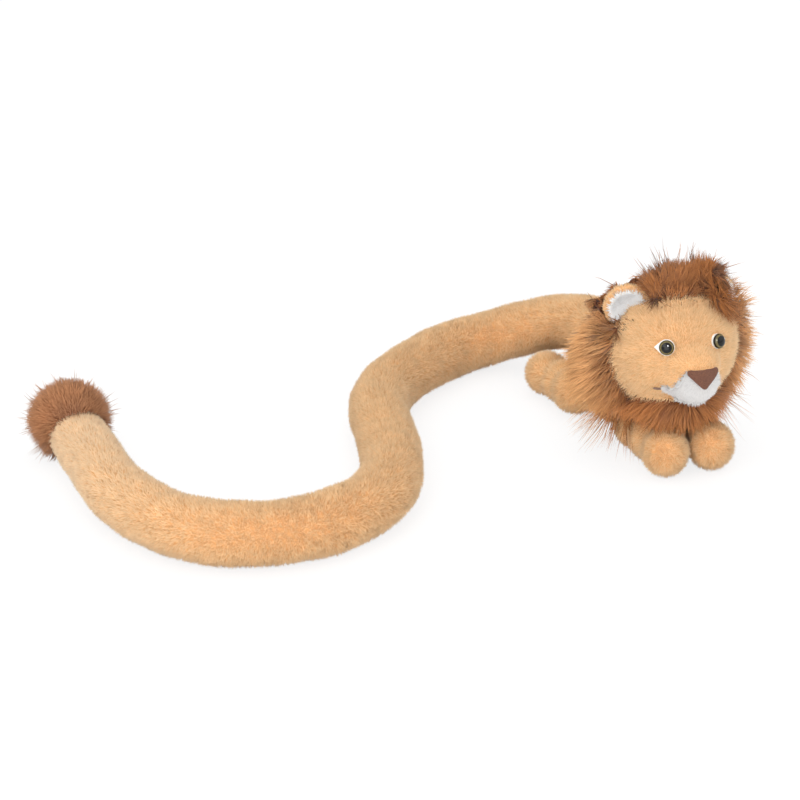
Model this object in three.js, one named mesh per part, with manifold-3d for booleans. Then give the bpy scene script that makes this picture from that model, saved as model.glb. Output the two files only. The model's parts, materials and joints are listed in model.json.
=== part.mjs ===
// A plush lion that lies on its belly, with a stuffed tail far longer than itself.
// Millimetres, +Z up. The origin is where the belly rests, the lion looks along -Y, and its left is +X.
// Head pieces are drawn in the head's own frame: its centre is zero, -Y is ahead and +Z is up.
import * as THREE from "three";
import { mergeVertices } from "three/addons/utils/BufferGeometryUtils.js";
import Module from "manifold-3d";

// General
const PLAY = 0.3; // space between neighbouring pieces
const FABRIC = 3; // backing and dense pile of the plush
const FLATTENED = 0.5; // how deep a soft form is pressed flat where it lies
const OVERRUN = 90; // how far a cutting tool reaches past what it cuts
const PROBE = 0.5; // a step along the tail that shows its direction
const WELD = 0.0001; // vertices closer than this are one

// Torso
const TORSO_LENGTH = 132;
const TORSO_AHEAD = 5; // of its centre
const TORSO_WIDTH = 92;
const TORSO_HEIGHT = 86;

// Neck: a ball of stuffing between the torso and the head
const NECK_RADIUS = 28;
const NECK_AHEAD = 50;
const NECK_HEIGHT = 80;
const NECK_OPENING = 30; // the hole in the head's skin that the stuffing goes through

// Head
const HEAD_WIDTH = 108;
const HEAD_DEPTH = 92;
const HEAD_HEIGHT = 100;
const HEAD_ASIDE = -6; // from the neck's centre to the head's
const HEAD_AHEAD = 36;
const HEAD_ABOVE = 23;
const HEAD_TURN = -8; // degrees to the lion's right, as it lies
const NOD_UP = 14; // degrees, the neck's travel
const NOD_DOWN = 2;
const HEAD_SWING = 15;

// Snout: the tan bridge, the white muzzle and chin, the nose and the mouth's corners
const SNOUT_WIDTH = 52;
const SNOUT_DEPTH = 62;
const SNOUT_HEIGHT = 32;
const SNOUT_AHEAD = 34.5;
const SNOUT_ABOVE = 3;
const MUZZLE_WIDTH = 44; // without its corners
const MUZZLE_DEPTH = 46;
const MUZZLE_HEIGHT = 36;
const MUZZLE_AHEAD = 44.5;
const MUZZLE_BELOW = 13;
const LIP_RADIUS = 3.5; // at the muzzle's corners
const LIP_ASIDE = 21;
const LIP_AHEAD = 38;
const LIP_BELOW = 20;
const WHITE_EDGE = [[30, -60], [30, -18], [20, -17], [15, -3], [12, 2]]; // aside and height, from below to the nose
const CHIN_WIDTH = 34;
const CHIN_DEPTH = 34;
const CHIN_HEIGHT = 24;
const CHIN_AHEAD = 43;
const CHIN_BELOW = 21.5;
const NOSE_WIDTH = 26.5;
const NOSE_HEIGHT = 15.5;
const NOSE_THICKNESS = 2.6;
const NOSE_TOP = 5; // above the head's centre
const NOSE_ROUNDING = 2.5;
const STITCH_LENGTH = 8;
const STITCH_THICKNESS = 3;
const MOUTH_ASIDE = 27;
const MOUTH_BELOW = 21;

// Eyes: a dome on a shank, a felt white behind it and a lock washer inside the head
const EYE_DIAMETER = 12.5;
const EYE_DOME = 4.5;
const EYE_RIM = 1;
const EYE_ASIDE = 22.5;
const EYE_ABOVE = 17;
const SHANK_DIAMETER = 4;
const SHANK_LENGTH = 15;
const FELT_DIAMETER = 14;
const FELT_CORNER = 10.5; // from the eye's axis to the felt's point
const FELT_THICKNESS = 1.2;
const WASHER_DIAMETER = 14;
const WASHER_THICKNESS = 1.6;
const WASHER_DEPTH = 7; // from the head's surface

// Ears
const EAR_WIDTH = 42;
const EAR_HEIGHT = 42;
const EAR_THICKNESS = 13;
const EAR_ASIDE = 39;
const EAR_ABOVE = 37;
const EAR_BEHIND = 7;
const EAR_LEAN = 32; // degrees outwards from upright
const EAR_OPEN = 18; // degrees that the ear's hollow faces outwards
const EAR_SWING = 15; // degrees each way
const EAR_RIM = 3.5; // from the ear's edge to its lining
const LINING_THICKNESS = 2.5;

// Mane: crest, nape, two sides and the bib
const MANE_WIDTH = 162;
const MANE_DEPTH = 70;
const MANE_HEIGHT = 150;
const MANE_BEHIND = 18;
const MANE_BELOW = 11;
const CREST_WIDTH = 76;
const CREST_DEPTH = 36;
const CREST_HEIGHT = 62;
const CREST_ASIDE = 5; // it lies over to the lion's left
const CREST_ABOVE = 46;
const NAPE_WIDTH = 76;
const NAPE_AHEAD = -14; // the nape starts this far behind the head's centre
const BIB_WIDTH = 88;
const BIB_DEPTH = 78;
const BIB_HEIGHT = 44;
const BIB_AHEAD = 6;
const BIB_BELOW = 44;
const MANE_BOTTOM = 56; // below the head's centre, so that the mane clears the legs

// Legs
const SHOULDER_RADIUS = 21.5;
const SHOULDERS_ASIDE = 1; // of the middle between them, as the lion lies
const SHOULDERS_AHEAD = 64;
const WRIST_RADIUS = 20;
const FORE_PAW_RADIUS = 20.5;
const FORE_LEG_REACH = 56; // from the shoulder's axis to the paw's centre
const FORE_LEG_RISE = 1.08; // how much higher than wide the front legs are
const FORE_LEGS_TURN = -7; // degrees, with the head
const PAWS_APART = 0.8;
const HIP_RADIUS = 22;
const HIP_ASIDE = 34;
const HIP_BEHIND = 24;
const HOCK_RADIUS = 19.5;
const HIND_PAW_RADIUS = 20.5;
const HIND_LEG_REACH = 46;
const HIND_SPLAY = 5; // degrees
const LEG_WAIST = 40; // degrees over the joint's ball and the paw before the leg narrows
const WRIST_SHARE = 0.5; // where the leg is narrowest, of its reach

// Tail: a root piece and a chain of sections, each bent as it lies
const TAIL_RADIUS = 25;
const TAIL_TIP_RADIUS = 23.5;
const TAIL_TAPER = 180; // the length over which the tip narrows
const TAIL_ASIDE = 12;
const TAIL_BEHIND = 60;
const TAIL_HEIGHT = 58; // of its axis where it leaves the rump
const TAIL_DROP = 153; // the length over which it comes down
const TAIL_HEADING = 3; // degrees
const TAIL_ROOT_LENGTH = 78;
const TAIL_SECTION_LENGTH = 86;
const TAIL_ROOT_TURN = 46; // degrees to the lion's right
const TAIL_TURNS = [61, 19, 37, -9, -45, -42, -47, -25, -1];
const TAIL_BEND = 30; // degrees, the most that a joint bends
const TUFT_WIDTH = 62;
const TUFT_LENGTH = 92;
const TUFT_HEIGHT = 68;
const TUFT_ASIDE = 4; // from the tail's line, to the lion's right
const TUFT_BEYOND = 5; // from the centre of the tail's last cap to the tuft's

// How many faces go round the forms
const EGG_AROUND = 16;
const EGG_ALONG = 12;
const SMALL_AROUND = 12;
const SMALL_ALONG = 8;
const TUBE_AROUND = 16;
const CAP_STEPS = 3;
const DOME_STEPS = 3;
const CURVE_STEPS = 3;
const DEGREES_PER_RING = 14;

const LEFT = 1;
const RIGHT = -1;
const AHEAD = 1;
const BEHIND = -1;
const radians = THREE.MathUtils.degToRad;

// Materials
const tanPlush = new THREE.MeshStandardMaterial({ color: 0xe5b27d, roughness: 0.95, metalness: 0 });
const whitePlush = new THREE.MeshStandardMaterial({ color: 0xebebf0, roughness: 0.95, metalness: 0 });
const manePlush = new THREE.MeshStandardMaterial({ color: 0x965a37, roughness: 0.85, metalness: 0 });
const noseVelour = new THREE.MeshStandardMaterial({ color: 0x6e413c, roughness: 0.7, metalness: 0 });
const eyeGloss = new THREE.MeshStandardMaterial({ color: 0x15120f, roughness: 0.08, metalness: 0 });
const whiteFelt = new THREE.MeshStandardMaterial({ color: 0xf2efe8, roughness: 0.9, metalness: 0 });
const washerPlastic = new THREE.MeshStandardMaterial({ color: 0xd8d8d4, roughness: 0.5, metalness: 0 });
const darkThread = new THREE.MeshStandardMaterial({ color: 0x4a3230, roughness: 0.8, metalness: 0 });
const stuffing = new THREE.MeshStandardMaterial({ color: 0xf4f4f2, roughness: 1, metalness: 0 });

const wasm = await Module();
wasm.setup();

// A closed geometry as a solid: shared vertices are merged and triangles of no width are left out.
function solidOf(geometry) {
  const bare = geometry.clone();
  bare.deleteAttribute("normal");
  bare.deleteAttribute("uv");
  const merged = mergeVertices(bare, WELD);
  const corners = merged.index.array;
  const kept = [];
  for (let i = 0; i < corners.length; i += 3) {
    const [a, b, c] = corners.slice(i, i + 3);
    if (a !== b && b !== c && c !== a) kept.push(a, b, c);
  }
  return new wasm.Manifold(
    new wasm.Mesh({
      numProp: 3,
      vertProperties: merged.attributes.position.array,
      triVerts: new Uint32Array(kept),
    }),
  );
}

function geometryOf(solid) {
  const { vertProperties, triVerts } = solid.getMesh();
  return new THREE.BufferGeometry()
    .setAttribute("position", new THREE.BufferAttribute(new Float32Array(vertProperties), 3))
    .setIndex(new THREE.BufferAttribute(new Uint32Array(triVerts), 1));
}

function cut(form, ...tools) {
  return geometryOf(tools.reduce((left, tool) => left.subtract(solidOf(tool)), solidOf(form)));
}

function join(form, ...others) {
  return geometryOf(others.reduce((whole, other) => whole.add(solidOf(other)), solidOf(form)));
}

function common(form, ...others) {
  return geometryOf(others.reduce((left, other) => left.intersect(solidOf(other)), solidOf(form)));
}

function moved(geometry, matrix) {
  return geometry.clone().applyMatrix4(matrix);
}

function meshOf(name, geometry, material) {
  const mesh = new THREE.Mesh(geometryOf(solidOf(geometry)), material);
  mesh.geometry.computeVertexNormals();
  mesh.name = name;
  return mesh;
}

// A turn of some degrees about an axis through a point.
function turnAbout(point, axis, degrees) {
  return new THREE.Matrix4()
    .makeTranslation(point.x, point.y, point.z)
    .multiply(new THREE.Matrix4().makeRotationAxis(axis, radians(degrees)))
    .multiply(new THREE.Matrix4().makeTranslation(-point.x, -point.y, -point.z));
}

const X = new THREE.Vector3(1, 0, 0);
const Z = new THREE.Vector3(0, 0, 1);
const ORIGIN = new THREE.Vector3(0, 0, 0);

// An egg with its long seam along Y, grown all round by some amount.
function egg(width, depth, height, centre, grow = 0, around = EGG_AROUND, along = EGG_ALONG) {
  return new THREE.SphereGeometry(1, around, along)
    .scale(width / 2 + grow, depth / 2 + grow, height / 2 + grow)
    .translate(centre.x, centre.y, centre.z);
}

function ball(radius, centre) {
  return egg(2 * radius, 2 * radius, 2 * radius, centre, 0, SMALL_AROUND, SMALL_ALONG);
}

// A socket whose flat facets stay clear of a ball in every position and face the ball's corners.
function socket(radius, centre, grow = 0) {
  const flats = Math.cos(Math.PI / SMALL_AROUND) * Math.cos(Math.PI / (2 * SMALL_ALONG));
  const size = (radius + PLAY) / flats + grow;
  return ball(size, ORIGIN)
    .rotateY(Math.PI / SMALL_AROUND)
    .rotateX(Math.PI / (2 * SMALL_ALONG))
    .translate(centre.x, centre.y, centre.z);
}

// A box between two corners.
function block(low, high) {
  const size = high.clone().sub(low);
  const middle = low.clone().add(high).divideScalar(2);
  return new THREE.BoxGeometry(size.x, size.y, size.z).translate(middle.x, middle.y, middle.z);
}

// What lies under the floor, to press a form flat; height is the floor's in the form's own frame.
function underFloor(centre, reach, height = 0) {
  return block(
    new THREE.Vector3(centre.x - reach, centre.y - reach, height - reach),
    new THREE.Vector3(centre.x + reach, centre.y + reach, height),
  );
}

function spun(profile, around) {
  return new THREE.LatheGeometry(profile, around);
}

const neckPlace = new THREE.Vector3(0, -NECK_AHEAD, NECK_HEIGHT);
const torsoCentre = new THREE.Vector3(0, -TORSO_AHEAD, TORSO_HEIGHT / 2 - FLATTENED);
const tailPlace = new THREE.Vector3(TAIL_ASIDE, TAIL_BEHIND, TAIL_HEIGHT);
const shoulders = [RIGHT, LEFT].map((side) =>
  new THREE.Vector3(side * (SHOULDER_RADIUS + PAWS_APART / 2), 0, SHOULDER_RADIUS * FORE_LEG_RISE - FLATTENED)
    .applyAxisAngle(Z, radians(FORE_LEGS_TURN))
    .add(new THREE.Vector3(SHOULDERS_ASIDE, -SHOULDERS_AHEAD, 0)),
);
const hips = [RIGHT, LEFT].map(
  (side) => new THREE.Vector3(side * HIP_ASIDE, HIP_BEHIND, HIP_RADIUS - FLATTENED),
);

// The torso's outline, grown or shrunk, with seats for the neck, the tail and the four legs.
function torsoForm(grow = 0) {
  const body = egg(TORSO_WIDTH, TORSO_LENGTH, TORSO_HEIGHT, torsoCentre, grow);
  return cut(
    body,
    underFloor(torsoCentre, TORSO_LENGTH, -Math.min(grow, 0)),
    socket(NECK_RADIUS, neckPlace, -grow),
    socket(TAIL_RADIUS, tailPlace, -grow),
    ...shoulders.map((place) =>
      socket(SHOULDER_RADIUS, ORIGIN, -grow).scale(1, 1, FORE_LEG_RISE).translate(...place.toArray()),
    ),
    ...frontLegs(PLAY - grow),
    ...hips.map((place) => socket(HIP_RADIUS, place, -grow)),
    ...hindLegs(PLAY - grow),
  );
}

// A round opening through a skin, from one point towards another.
function opening(diameter, from, towards) {
  const along = towards.clone().sub(from);
  const turn = new THREE.Quaternion().setFromUnitVectors(
    new THREE.Vector3(0, 1, 0),
    along.clone().normalize(),
  );
  const middle = from.clone().add(towards).divideScalar(2);
  return new THREE.CylinderGeometry(diameter / 2, diameter / 2, along.length(), SMALL_AROUND)
    .applyQuaternion(turn)
    .translate(middle.x, middle.y, middle.z);
}

function makeTorso() {
  const group = new THREE.Group();
  const skin = cut(
    torsoForm(),
    torsoForm(-FABRIC),
    opening(NECK_OPENING, neckPlace, torsoCentre),
  );
  group.add(meshOf("torso_skin", skin, tanPlush));
  group.add(meshOf("torso_stuffing", torsoForm(-FABRIC - PLAY), stuffing));
  return group;
}

// Points of an arc about a centre on the axis, between two angles in degrees.
function arc(radius, centre, from, to, steps) {
  return Array.from({ length: steps + 1 }, (_, i) => {
    const angle = radians(from + ((to - from) * i) / steps);
    return new THREE.Vector2(radius * Math.cos(angle), centre + radius * Math.sin(angle));
  });
}

// A leg lies along its own Y: a ball at the joint, a narrower wrist and a round paw.
function legForm(jointRadius, wristRadius, pawRadius, reach) {
  const profile = [
    ...arc(jointRadius, 0, -90, LEG_WAIST, CURVE_STEPS + 1),
    new THREE.Vector2(wristRadius, reach * WRIST_SHARE),
    ...arc(pawRadius, reach, -LEG_WAIST, 90, CURVE_STEPS + 1),
  ];
  const leg = spun(profile, TUBE_AROUND);
  return leg.rotateX(-Math.asin((jointRadius - pawRadius) / reach));
}

function frontLeg(grow = 0) {
  const radii = [SHOULDER_RADIUS, WRIST_RADIUS, FORE_PAW_RADIUS].map((radius) => radius + grow);
  return legForm(...radii, FORE_LEG_REACH).scale(1, 1, FORE_LEG_RISE);
}

function frontLegs(grow = 0) {
  return [RIGHT, LEFT].map((side, i) =>
    frontLeg(grow)
      .rotateZ(foreHeading(side))
      .translate(shoulders[i].x, shoulders[i].y, shoulders[i].z),
  );
}

function foreHeading(side) {
  const toeIn = Math.asin((SHOULDER_RADIUS - FORE_PAW_RADIUS) / FORE_LEG_REACH);
  return Math.PI + radians(FORE_LEGS_TURN) - side * toeIn;
}

function hindLegs(grow = 0) {
  return [RIGHT, LEFT].map((side, i) =>
    legForm(HIP_RADIUS + grow, HOCK_RADIUS + grow, HIND_PAW_RADIUS + grow, HIND_LEG_REACH)
      .rotateZ(hindHeading(side))
      .translate(hips[i].x, hips[i].y, hips[i].z),
  );
}

function hindHeading(side) {
  return -side * radians(HIND_SPLAY);
}

// A leg in its own group at its joint, pressed flat where it lies.
function makeLeg(name, place, form, heading) {
  const group = new THREE.Group();
  group.position.copy(place);
  group.rotation.z = heading;
  group.add(meshOf(name, cut(form, underFloor(ORIGIN, FORE_LEG_REACH + OVERRUN, -place.z)), tanPlush));
  return group;
}

function makeLegs() {
  return [RIGHT, LEFT].flatMap((side, i) => {
    const word = side === LEFT ? "left" : "right";
    const hind = legForm(HIP_RADIUS, HOCK_RADIUS, HIND_PAW_RADIUS, HIND_LEG_REACH);
    return [
      makeLeg(`front_leg_${word}`, shoulders[i], frontLeg(), foreHeading(side)),
      makeLeg(`hind_leg_${word}`, hips[i], hind, hindHeading(side)),
    ];
  });
}

// The head's own frame, and the same things seen from it.
const headCentre = neckPlace.clone().add(new THREE.Vector3(HEAD_ASIDE, -HEAD_AHEAD, HEAD_ABOVE));
const headFrame = new THREE.Matrix4()
  .makeTranslation(headCentre.x, headCentre.y, headCentre.z)
  .multiply(new THREE.Matrix4().makeRotationZ(radians(HEAD_TURN)));
const toHead = headFrame.clone().invert();
const neckInHead = neckPlace.clone().applyMatrix4(toHead);

// The head with its snout, grown or shrunk, with the seat for the neck.
function headForm(grow = 0) {
  return cut(
    join(
      egg(HEAD_WIDTH, HEAD_DEPTH, HEAD_HEIGHT, ORIGIN, grow),
      cut(snoutForm(grow), whiteZone(PLAY - grow)),
    ),
    socket(NECK_RADIUS, neckInHead, -grow),
  );
}

// The snout with the upper lip, drawn out to the corners of the mouth.
function snoutForm(grow = 0) {
  const bridge = new THREE.Vector3(0, -SNOUT_AHEAD, SNOUT_ABOVE);
  const centre = new THREE.Vector3(0, -MUZZLE_AHEAD, -MUZZLE_BELOW);
  const middle = egg(MUZZLE_WIDTH, MUZZLE_DEPTH, MUZZLE_HEIGHT, centre, grow, SMALL_AROUND, SMALL_ALONG);
  const corners = [RIGHT, LEFT].map((side) =>
    ball(LIP_RADIUS + grow, new THREE.Vector3(side * LIP_ASIDE, -LIP_AHEAD, -LIP_BELOW)),
  );
  const top = egg(SNOUT_WIDTH, SNOUT_DEPTH, SNOUT_HEIGHT, bridge, grow, SMALL_AROUND, SMALL_ALONG);
  return geometryOf(wasm.Manifold.hull([top, middle, ...corners].map(solidOf)));
}

// The white part of the snout seen from ahead: up to the nose in the middle, down to the mouth's corners.
function whiteZone(grow = 0) {
  const right = WHITE_EDGE.map(([aside, height]) => new THREE.Vector2(-aside - grow, height + grow));
  const left = WHITE_EDGE.map(([aside, height]) => new THREE.Vector2(aside + grow, height + grow)).reverse();
  return new THREE.ExtrudeGeometry(new THREE.Shape([...right, ...left].reverse()), {
    depth: OVERRUN,
    bevelEnabled: false,
  }).rotateX(Math.PI / 2);
}

function chinForm(grow = 0) {
  const centre = new THREE.Vector3(0, -CHIN_AHEAD, -CHIN_BELOW);
  return egg(CHIN_WIDTH, CHIN_DEPTH, CHIN_HEIGHT, centre, grow, SMALL_AROUND, SMALL_ALONG);
}

// The nose's outline seen from ahead: a triangle on its point, with rounded corners.
function noseTool(grow = 0) {
  const half = NOSE_WIDTH / 2 - NOSE_ROUNDING;
  const top = NOSE_TOP - NOSE_ROUNDING;
  const bottom = NOSE_TOP - NOSE_HEIGHT + NOSE_ROUNDING;
  const corners = [
    new THREE.Vector2(-half, top),
    new THREE.Vector2(0, bottom),
    new THREE.Vector2(half, top),
  ];
  const shape = new THREE.Shape();
  corners.forEach((corner, i) => {
    const before = corners[(i + 2) % 3];
    const after = corners[(i + 1) % 3];
    const into = Math.atan2(corner.y - before.y, corner.x - before.x) - Math.PI / 2;
    const out = Math.atan2(after.y - corner.y, after.x - corner.x) - Math.PI / 2;
    shape.absarc(corner.x, corner.y, NOSE_ROUNDING + grow, into, out, false);
  });
  shape.closePath();
  return new THREE.ExtrudeGeometry(shape, {
    depth: OVERRUN,
    bevelEnabled: false,
    curveSegments: CURVE_STEPS,
  }).rotateX(Math.PI / 2);
}

function makeSnout() {
  const nose = cut(
    common(noseTool(), snoutForm(NOSE_THICKNESS)),
    headForm(PLAY),
    snoutForm(PLAY),
    chinForm(PLAY),
  );
  const muzzle = cut(common(snoutForm(), whiteZone()), headForm(PLAY));
  const chin = cut(chinForm(), headForm(PLAY), snoutForm(PLAY));
  const stitches = [RIGHT, LEFT].map((side) => {
    const word = side === LEFT ? "left" : "right";
    const form = egg(
      STITCH_LENGTH,
      HEAD_DEPTH,
      STITCH_THICKNESS,
      new THREE.Vector3(side * MOUTH_ASIDE, -HEAD_DEPTH / 2, -MOUTH_BELOW),
      0,
      8,
      6,
    );
    const seated = cut(
      common(form, egg(HEAD_WIDTH, HEAD_DEPTH, HEAD_HEIGHT, ORIGIN, STITCH_THICKNESS / 2)),
      headForm(PLAY),
      snoutForm(PLAY),
      chinForm(PLAY),
    );
    return meshOf(`mouth_stitch_${word}`, seated, darkThread);
  });
  return [
    meshOf("muzzle", muzzle, whitePlush),
    meshOf("chin", chin, whitePlush),
    meshOf("nose", nose, noseVelour),
    ...stitches,
  ];
}

// Where an eye sits on the head's surface: +X to the lion's left, +Y straight out of the head.
function eyeFrame(side) {
  const half = new THREE.Vector3(HEAD_WIDTH, HEAD_DEPTH, HEAD_HEIGHT).divideScalar(2);
  const x = side * EYE_ASIDE;
  const z = EYE_ABOVE;
  const y = -half.y * Math.sqrt(1 - (x / half.x) ** 2 - (z / half.z) ** 2);
  const out = new THREE.Vector3(x / half.x ** 2, y / half.y ** 2, z / half.z ** 2).normalize();
  const aside = Z.clone().cross(out).normalize();
  const down = aside.clone().cross(out);
  return new THREE.Matrix4().makeBasis(aside, out, down).setPosition(x, y, z);
}

// The dome and its shank, turned about the eye's axis. The dome stands on the felt.
function eyeForm() {
  const seat = FELT_THICKNESS + PLAY;
  const radius = EYE_DIAMETER / 2;
  const shank = SHANK_DIAMETER / 2;
  const profile = [
    new THREE.Vector2(0, seat - SHANK_LENGTH),
    new THREE.Vector2(shank, seat - SHANK_LENGTH),
    new THREE.Vector2(shank, seat),
    new THREE.Vector2(radius, seat),
    new THREE.Vector2(radius, seat + EYE_RIM),
  ];
  for (let i = 1; i <= DOME_STEPS; i++) {
    const angle = (Math.PI / 2) * (i / DOME_STEPS);
    profile.push(
      new THREE.Vector2(
        i === DOME_STEPS ? 0 : radius * Math.cos(angle),
        seat + EYE_RIM + (EYE_DOME - EYE_RIM) * Math.sin(angle),
      ),
    );
  }
  return spun(profile, SMALL_AROUND);
}

// A flat round tool about the eye's axis, between two heights over the surface.
function eyeDisc(diameter, low, high) {
  return new THREE.CylinderGeometry(diameter / 2, diameter / 2, high - low, SMALL_AROUND).translate(
    0,
    (low + high) / 2,
    0,
  );
}

// The felt's outline: round, with a point towards the outer corner of the eye.
function feltTool(side) {
  const radius = FELT_DIAMETER / 2;
  const touch = Math.acos(radius / FELT_CORNER);
  const shape = new THREE.Shape();
  shape.absarc(0, 0, radius, touch, 2 * Math.PI - touch, false);
  shape.lineTo(FELT_CORNER, 0);
  shape.closePath();
  return new THREE.ExtrudeGeometry(shape, {
    depth: FABRIC + FELT_THICKNESS,
    bevelEnabled: false,
    curveSegments: SMALL_ALONG,
  })
    .translate(0, 0, -FABRIC)
    .rotateX(-Math.PI / 2)
    .rotateY(side === LEFT ? 0 : Math.PI);
}

function makeEyes() {
  const pieces = [];
  for (const side of [RIGHT, LEFT]) {
    const word = side === LEFT ? "left" : "right";
    const frame = eyeFrame(side);
    const bore = eyeDisc(SHANK_DIAMETER + 2 * PLAY, -SHANK_LENGTH - PLAY, OVERRUN);
    const felt = cut(moved(feltTool(side), frame), headForm(PLAY), moved(bore, frame));
    const washer = cut(
      eyeDisc(WASHER_DIAMETER, -WASHER_DEPTH - WASHER_THICKNESS, -WASHER_DEPTH),
      bore,
    );
    pieces.push(
      meshOf(`eye_${word}`, moved(eyeForm(), frame), eyeGloss),
      meshOf(`eye_felt_${word}`, felt, whiteFelt),
      meshOf(`eye_washer_${word}`, moved(washer, frame), washerPlastic),
    );
  }
  return pieces;
}

// The room that the shanks and washers take in the skin and in the stuffing.
function eyeRoom() {
  return [RIGHT, LEFT].flatMap((side) => {
    const frame = eyeFrame(side);
    return [
      moved(eyeDisc(SHANK_DIAMETER + 2 * PLAY, -SHANK_LENGTH - PLAY, OVERRUN), frame),
      moved(
        eyeDisc(WASHER_DIAMETER + 2 * PLAY, -WASHER_DEPTH - WASHER_THICKNESS - PLAY, -WASHER_DEPTH + PLAY),
        frame,
      ),
    ];
  });
}

function makeHeadBody() {
  const shanks = [RIGHT, LEFT].map((side) =>
    moved(
      eyeDisc(SHANK_DIAMETER + 2 * PLAY, -SHANK_LENGTH - PLAY, OVERRUN),
      eyeFrame(side),
    ),
  );
  const skin = cut(
    headForm(),
    headForm(-FABRIC),
    opening(NECK_OPENING, neckInHead, ORIGIN),
    ...shanks,
  );
  const fill = cut(headForm(-FABRIC - PLAY), ...eyeRoom());
  return [meshOf("head_skin", skin, tanPlush), meshOf("head_stuffing", fill, stuffing)];
}

// An ear stands on its lower edge: a flat egg, hollowed in front.
function earFrame(side) {
  return new THREE.Matrix4()
    .makeTranslation(side * EAR_ASIDE, EAR_BEHIND, EAR_ABOVE)
    .multiply(new THREE.Matrix4().makeRotationZ(side * radians(EAR_OPEN)))
    .multiply(new THREE.Matrix4().makeRotationY(side * radians(EAR_LEAN)));
}

// The hollow in the ear's front, and the lining's own surface a little ahead of it.
function earHollow(grow = 0) {
  const bowl = new THREE.Vector3(0, -EAR_THICKNESS / 2, 0);
  const rim = 2 * EAR_RIM;
  return egg(
    EAR_WIDTH - rim,
    EAR_THICKNESS,
    EAR_HEIGHT - rim,
    bowl,
    grow,
    SMALL_AROUND,
    SMALL_ALONG,
  );
}

function earForm(grow = 0) {
  return egg(
    EAR_WIDTH,
    EAR_THICKNESS,
    EAR_HEIGHT,
    ORIGIN,
    grow,
    SMALL_AROUND,
    SMALL_ALONG,
  );
}

// The axis that an ear folds about: along the head's surface, through the ear's root.
function earHinge(side) {
  const frame = earFrame(side);
  const root = new THREE.Vector3(0, 0, -EAR_HEIGHT / 2).applyMatrix4(frame);
  const axis = X.clone().transformDirection(frame);
  return { root, axis };
}

// The room that an ear sweeps as it folds. Between two places its edge bulges a little past their hull.
function earRoom(side) {
  const { root, axis } = earHinge(side);
  const bulge = EAR_HEIGHT * (1 - Math.cos(radians(EAR_SWING / 2)));
  const ear = moved(earForm(PLAY + bulge), earFrame(side));
  const places = [-EAR_SWING, 0, EAR_SWING].map((angle) => moved(ear, turnAbout(root, axis, angle)));
  return geometryOf(wasm.Manifold.hull(places.map(solidOf)));
}

function makeEars() {
  return [RIGHT, LEFT].map((side) => {
    const word = side === LEFT ? "left" : "right";
    const frame = earFrame(side);
    const { root, axis } = earHinge(side);
    const headSwept = [-EAR_SWING, 0, EAR_SWING].map((angle) =>
      moved(headForm(PLAY), turnAbout(root, axis, angle)),
    );
    const back = cut(moved(cut(earForm(), earHollow()), frame), ...headSwept);
    const lining = cut(
      moved(common(cut(earHollow(-PLAY), earHollow(-PLAY - LINING_THICKNESS)), earForm()), frame),
      ...headSwept,
    );
    const group = new THREE.Group();
    group.add(meshOf(`ear_back_${word}`, back, tanPlush));
    group.add(meshOf(`ear_lining_${word}`, lining, whitePlush));
    return group;
  });
}

// Every position of the torso as the moving head sees it.
function torsoSeenFromHead() {
  const torso = egg(TORSO_WIDTH, TORSO_LENGTH, TORSO_HEIGHT, torsoCentre, PLAY);
  const seen = [];
  for (const nod of [-NOD_UP, 0, NOD_DOWN]) {
    for (const swing of [-HEAD_SWING, 0, HEAD_SWING]) {
      const turn = turnAbout(neckPlace, X, -nod).multiply(turnAbout(neckPlace, Z, -swing));
      seen.push(moved(moved(torso, turn), toHead));
    }
  }
  return seen;
}

function maneForm(grow = 0) {
  const centre = new THREE.Vector3(0, MANE_BEHIND, -MANE_BELOW);
  return egg(MANE_WIDTH, MANE_DEPTH, MANE_HEIGHT, centre, grow);
}

function crestForm(grow = 0) {
  const centre = new THREE.Vector3(CREST_ASIDE, 0, CREST_ABOVE);
  return egg(CREST_WIDTH, CREST_DEPTH, CREST_HEIGHT, centre, grow, SMALL_AROUND, SMALL_ALONG);
}

function makeMane() {
  const ears = [RIGHT, LEFT].map(earRoom);
  const inner = NAPE_WIDTH / 2;
  const far = MANE_WIDTH;
  const neckSeat = socket(NECK_RADIUS, neckInHead);
  const body = torsoSeenFromHead();
  const crest = cut(crestForm(), headForm(PLAY), ...ears);
  const napeBox = block(
    new THREE.Vector3(-inner, -NAPE_AHEAD, -MANE_BOTTOM),
    new THREE.Vector3(inner, far, far),
  );
  const nape = cut(
    common(maneForm(), napeBox),
    headForm(PLAY),
    crestForm(PLAY),
    neckSeat,
    ...ears,
    ...body,
  );
  const sides = [RIGHT, LEFT].map((side) => {
    const word = side === LEFT ? "left" : "right";
    const near = side * (inner + PLAY);
    const sideBox = block(
      new THREE.Vector3(Math.min(near, side * far), -far, -MANE_BOTTOM),
      new THREE.Vector3(Math.max(near, side * far), far, far),
    );
    const pad = cut(common(maneForm(), sideBox), headForm(PLAY), crestForm(PLAY), ...ears, ...body);
    return meshOf(`mane_side_${word}`, pad, manePlush);
  });
  const bibCentre = new THREE.Vector3(0, -BIB_AHEAD, -BIB_BELOW);
  const bib = cut(
    egg(BIB_WIDTH, BIB_DEPTH, BIB_HEIGHT, bibCentre, 0, SMALL_AROUND, SMALL_ALONG),
    underFloor(bibCentre, BIB_WIDTH, -MANE_BOTTOM),
    headForm(PLAY),
    chinForm(PLAY),
    maneAround(PLAY),
    neckSeat,
    ...body,
  );
  return [
    meshOf("mane_crest", crest, manePlush),
    meshOf("mane_nape", nape, manePlush),
    ...sides,
    meshOf("mane_bib", bib, manePlush),
  ];
}

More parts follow.
